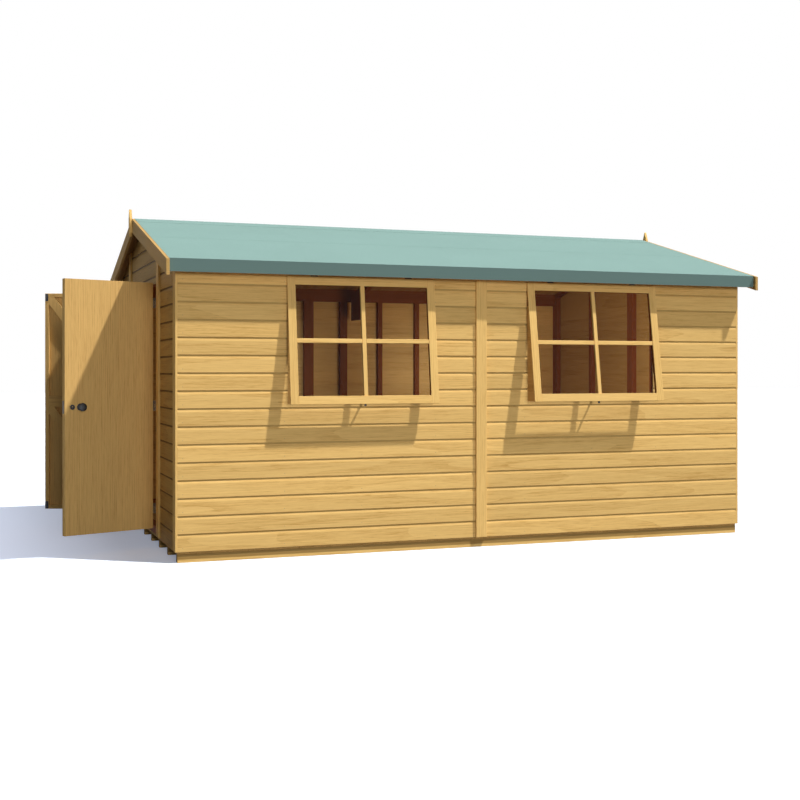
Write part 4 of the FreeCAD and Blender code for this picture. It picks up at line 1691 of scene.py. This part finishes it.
@dataclass
class Studio:
    """Floor, light and camera."""

    camera_place: Point = (-3.2995, -9.6121, 1.2916)
    camera_turn_deg: float = -20.123
    lens: float = 54.479
    shift_x: float = -0.00083
    shift_y: float = -0.03788
    sun_from: Point = (0.170, -0.12, 0.330)
    sun_strength: float = 3.95
    sun_spread_deg: float = 1.6
    sun_colour: Colour = (1.0, 0.99, 0.97)
    fill_from: Point = (0.02, -0.99, 0.08)
    fill_strength: float = 1.15
    fill_spread_deg: float = 14.0
    fill_colour: Colour = (1.0, 1.0, 1.0)
    room_place: Point = (1.20, -1.30, 1.20)
    room_turn_deg: float = -20.0
    room_length: float = 0.8
    room_height: float = 0.5
    room_power: float = 18.0
    room_colour: Colour = (1.0, 0.88, 0.70)
    sky_strength: float = 0.16
    sky_colour: Colour = (0.90, 0.95, 1.0)
    floor_reach: float = 60.0
    floor_bounce: Colour = (0.12, 0.12, 0.12)
    floor_colour: Colour = (0.80, 0.88, 1.0)
    glow_colour: Colour = (0.78, 0.83, 1.0)
    glow: tuple[float, float] = (0.26, 0.64)
    shade_from: float = -2.15
    shade_to: float = -3.05
    sensor: float = 36.0
    view_reach: float = 200.0

    def build_floor(self) -> None:
        """Lay a wide pale floor that keeps the shadow, with a painted glow that lightens the shadow
        towards -X.
        """
        mesh = bpy.data.meshes.new("studio_floor")
        size = self.floor_reach
        corners = [(-size, -size, 0.0), (size, -size, 0.0), (size, size, 0.0), (-size, size, 0.0)]
        mesh.from_pydata(corners, [], [(0, 1, 2, 3)])
        bench = ShaderBench("floor_white")
        bench.feed((*self.floor_bounce, 1.0), bench.skin, "Base Color")
        bench.feed(0.95, bench.skin, "Roughness")
        bench.feed(0.0, bench.skin, "Specular IOR Level")
        face = bench.add("ShaderNodeBsdfDiffuse", {"Color": (*self.floor_colour, 1.0)})
        glow = bench.add("ShaderNodeEmission", {"Color": (*self.glow_colour, 1.0)})
        # Painted light: the floor's glow rises from the first to the second strength between
        # shade_from and shade_to along X.
        place = bench.axis(bench.place(), "X")
        bench.feed(bench.span(place, self.shade_from, self.shade_to, *self.glow), glow, "Strength")
        both = bench.add("ShaderNodeAddShader")
        bench.feed(face.outputs["BSDF"], both, 0)
        bench.feed(glow.outputs["Emission"], both, 1)
        mix = bench.add("ShaderNodeMixShader")
        bench.feed(seen_share(bench.tree), mix, 0)
        bench.feed(bench.skin.outputs["BSDF"], mix, 1)
        bench.feed(both.outputs["Shader"], mix, 2)
        bench.feed(mix.outputs["Shader"], bench.output, "Surface")
        mesh.materials.append(bench.material)
        floor = bpy.data.objects.new("studio_floor", mesh)
        bpy.context.scene.collection.objects.link(floor)

    def build_world(self) -> None:
        """Make a soft sky that the camera sees as white."""
        world = bpy.data.worlds.new("studio_sky")
        bpy.context.scene.world = world
        world.use_nodes = True
        tree = world.node_tree
        tree.nodes.clear()
        mix = tree.nodes.new("ShaderNodeMixShader")
        tree.links.new(seen_share(tree), mix.inputs[0])
        looks = ((self.sky_colour, self.sky_strength), ((1.0, 1.0, 1.0), 1.0))
        for slot, (colour, strength) in enumerate(looks, start=1):
            sky = tree.nodes.new("ShaderNodeBackground")
            sky.inputs["Color"].default_value = (*colour, 1.0)
            sky.inputs["Strength"].default_value = strength
            tree.links.new(sky.outputs[0], mix.inputs[slot])
        output = tree.nodes.new("ShaderNodeOutputWorld")
        tree.links.new(mix.outputs[0], output.inputs["Surface"])

    def add_sun(
        self, name: str, source: Point, strength: float, spread_deg: float, colour: Colour
    ) -> None:
        """Add a distant lamp.

        Args:
            name: The lamp's name.
            source: Direction that the light comes from.
            strength: Strength of the lamp.
            spread_deg: Apparent size of the lamp.
            colour: Colour of the light.
        """
        data = bpy.data.lights.new(name, "SUN")
        data.energy = strength
        data.angle = math.radians(spread_deg)
        data.color = colour
        lamp = bpy.data.objects.new(name, data)
        lamp.rotation_euler = Vector(source).to_track_quat("Z", "Y").to_euler()
        bpy.context.scene.collection.objects.link(lamp)

    def add_room_lamp(self) -> None:
        """Add a soft lamp inside, which faces the back wall and the far gable."""
        data = bpy.data.lights.new("room_light", "AREA")
        data.shape = "RECTANGLE"
        data.size = self.room_length
        data.size_y = self.room_height
        data.energy = self.room_power
        data.color = self.room_colour
        lamp = bpy.data.objects.new("room_light", data)
        lamp.location = self.room_place
        lamp.rotation_euler = (math.radians(90.0), 0.0, math.radians(self.room_turn_deg))
        lamp.visible_camera = False
        lamp.visible_glossy = False
        bpy.context.scene.collection.objects.link(lamp)

    def build_camera(self) -> None:
        """Place the camera at the photograph's viewpoint."""
        data = bpy.data.cameras.new("camera")
        data.sensor_width = self.sensor
        data.lens = self.lens
        data.shift_x = self.shift_x
        data.shift_y = self.shift_y
        data.clip_end = self.view_reach
        camera = bpy.data.objects.new("camera", data)
        camera.location = self.camera_place
        camera.rotation_euler = (math.pi / 2.0, 0.0, math.radians(self.camera_turn_deg))
        bpy.context.scene.collection.objects.link(camera)
        bpy.context.scene.camera = camera

    def build(self) -> None:
        """Build the studio."""
        self.build_floor()
        self.build_world()
        key = (self.sun_from, self.sun_strength, self.sun_spread_deg, self.sun_colour)
        fill = (self.fill_from, self.fill_strength, self.fill_spread_deg, self.fill_colour)
        self.add_sun("key_light", *key)
        self.add_sun("front_fill", *fill)
        self.add_room_lamp()
        self.build_camera()
        bpy.context.scene.view_settings.view_transform = "Standard"


def main() -> None:
    """Dress the shed from the ground up, then light it."""
    logging.basicConfig(level=logging.INFO, format="%(name)s: %(message)s")
    finishes = Finishes()
    roof = RoofPlan()
    window_wall = WindowWall(finishes, roof)
    assemblies = [
        FrameDressing(finishes),
        Floor(finishes),
        window_wall,
        BackWall(finishes, roof),
        WallNails(finishes, window_wall),
        GableWalls(finishes, roof),
        RoofSkin(finishes, roof),
        Windows(finishes, window_wall),
        DoorLeaf("near_door", "near_door", True, finishes),
        DoorLeaf("far_door", "far_door", False, finishes),
    ]
    for assembly in assemblies:
        made = assembly.build()
        LOG.info("%s: %d objects", type(assembly).__name__, len(made))
    Studio().build()


if __name__ == "__main__":
    main()
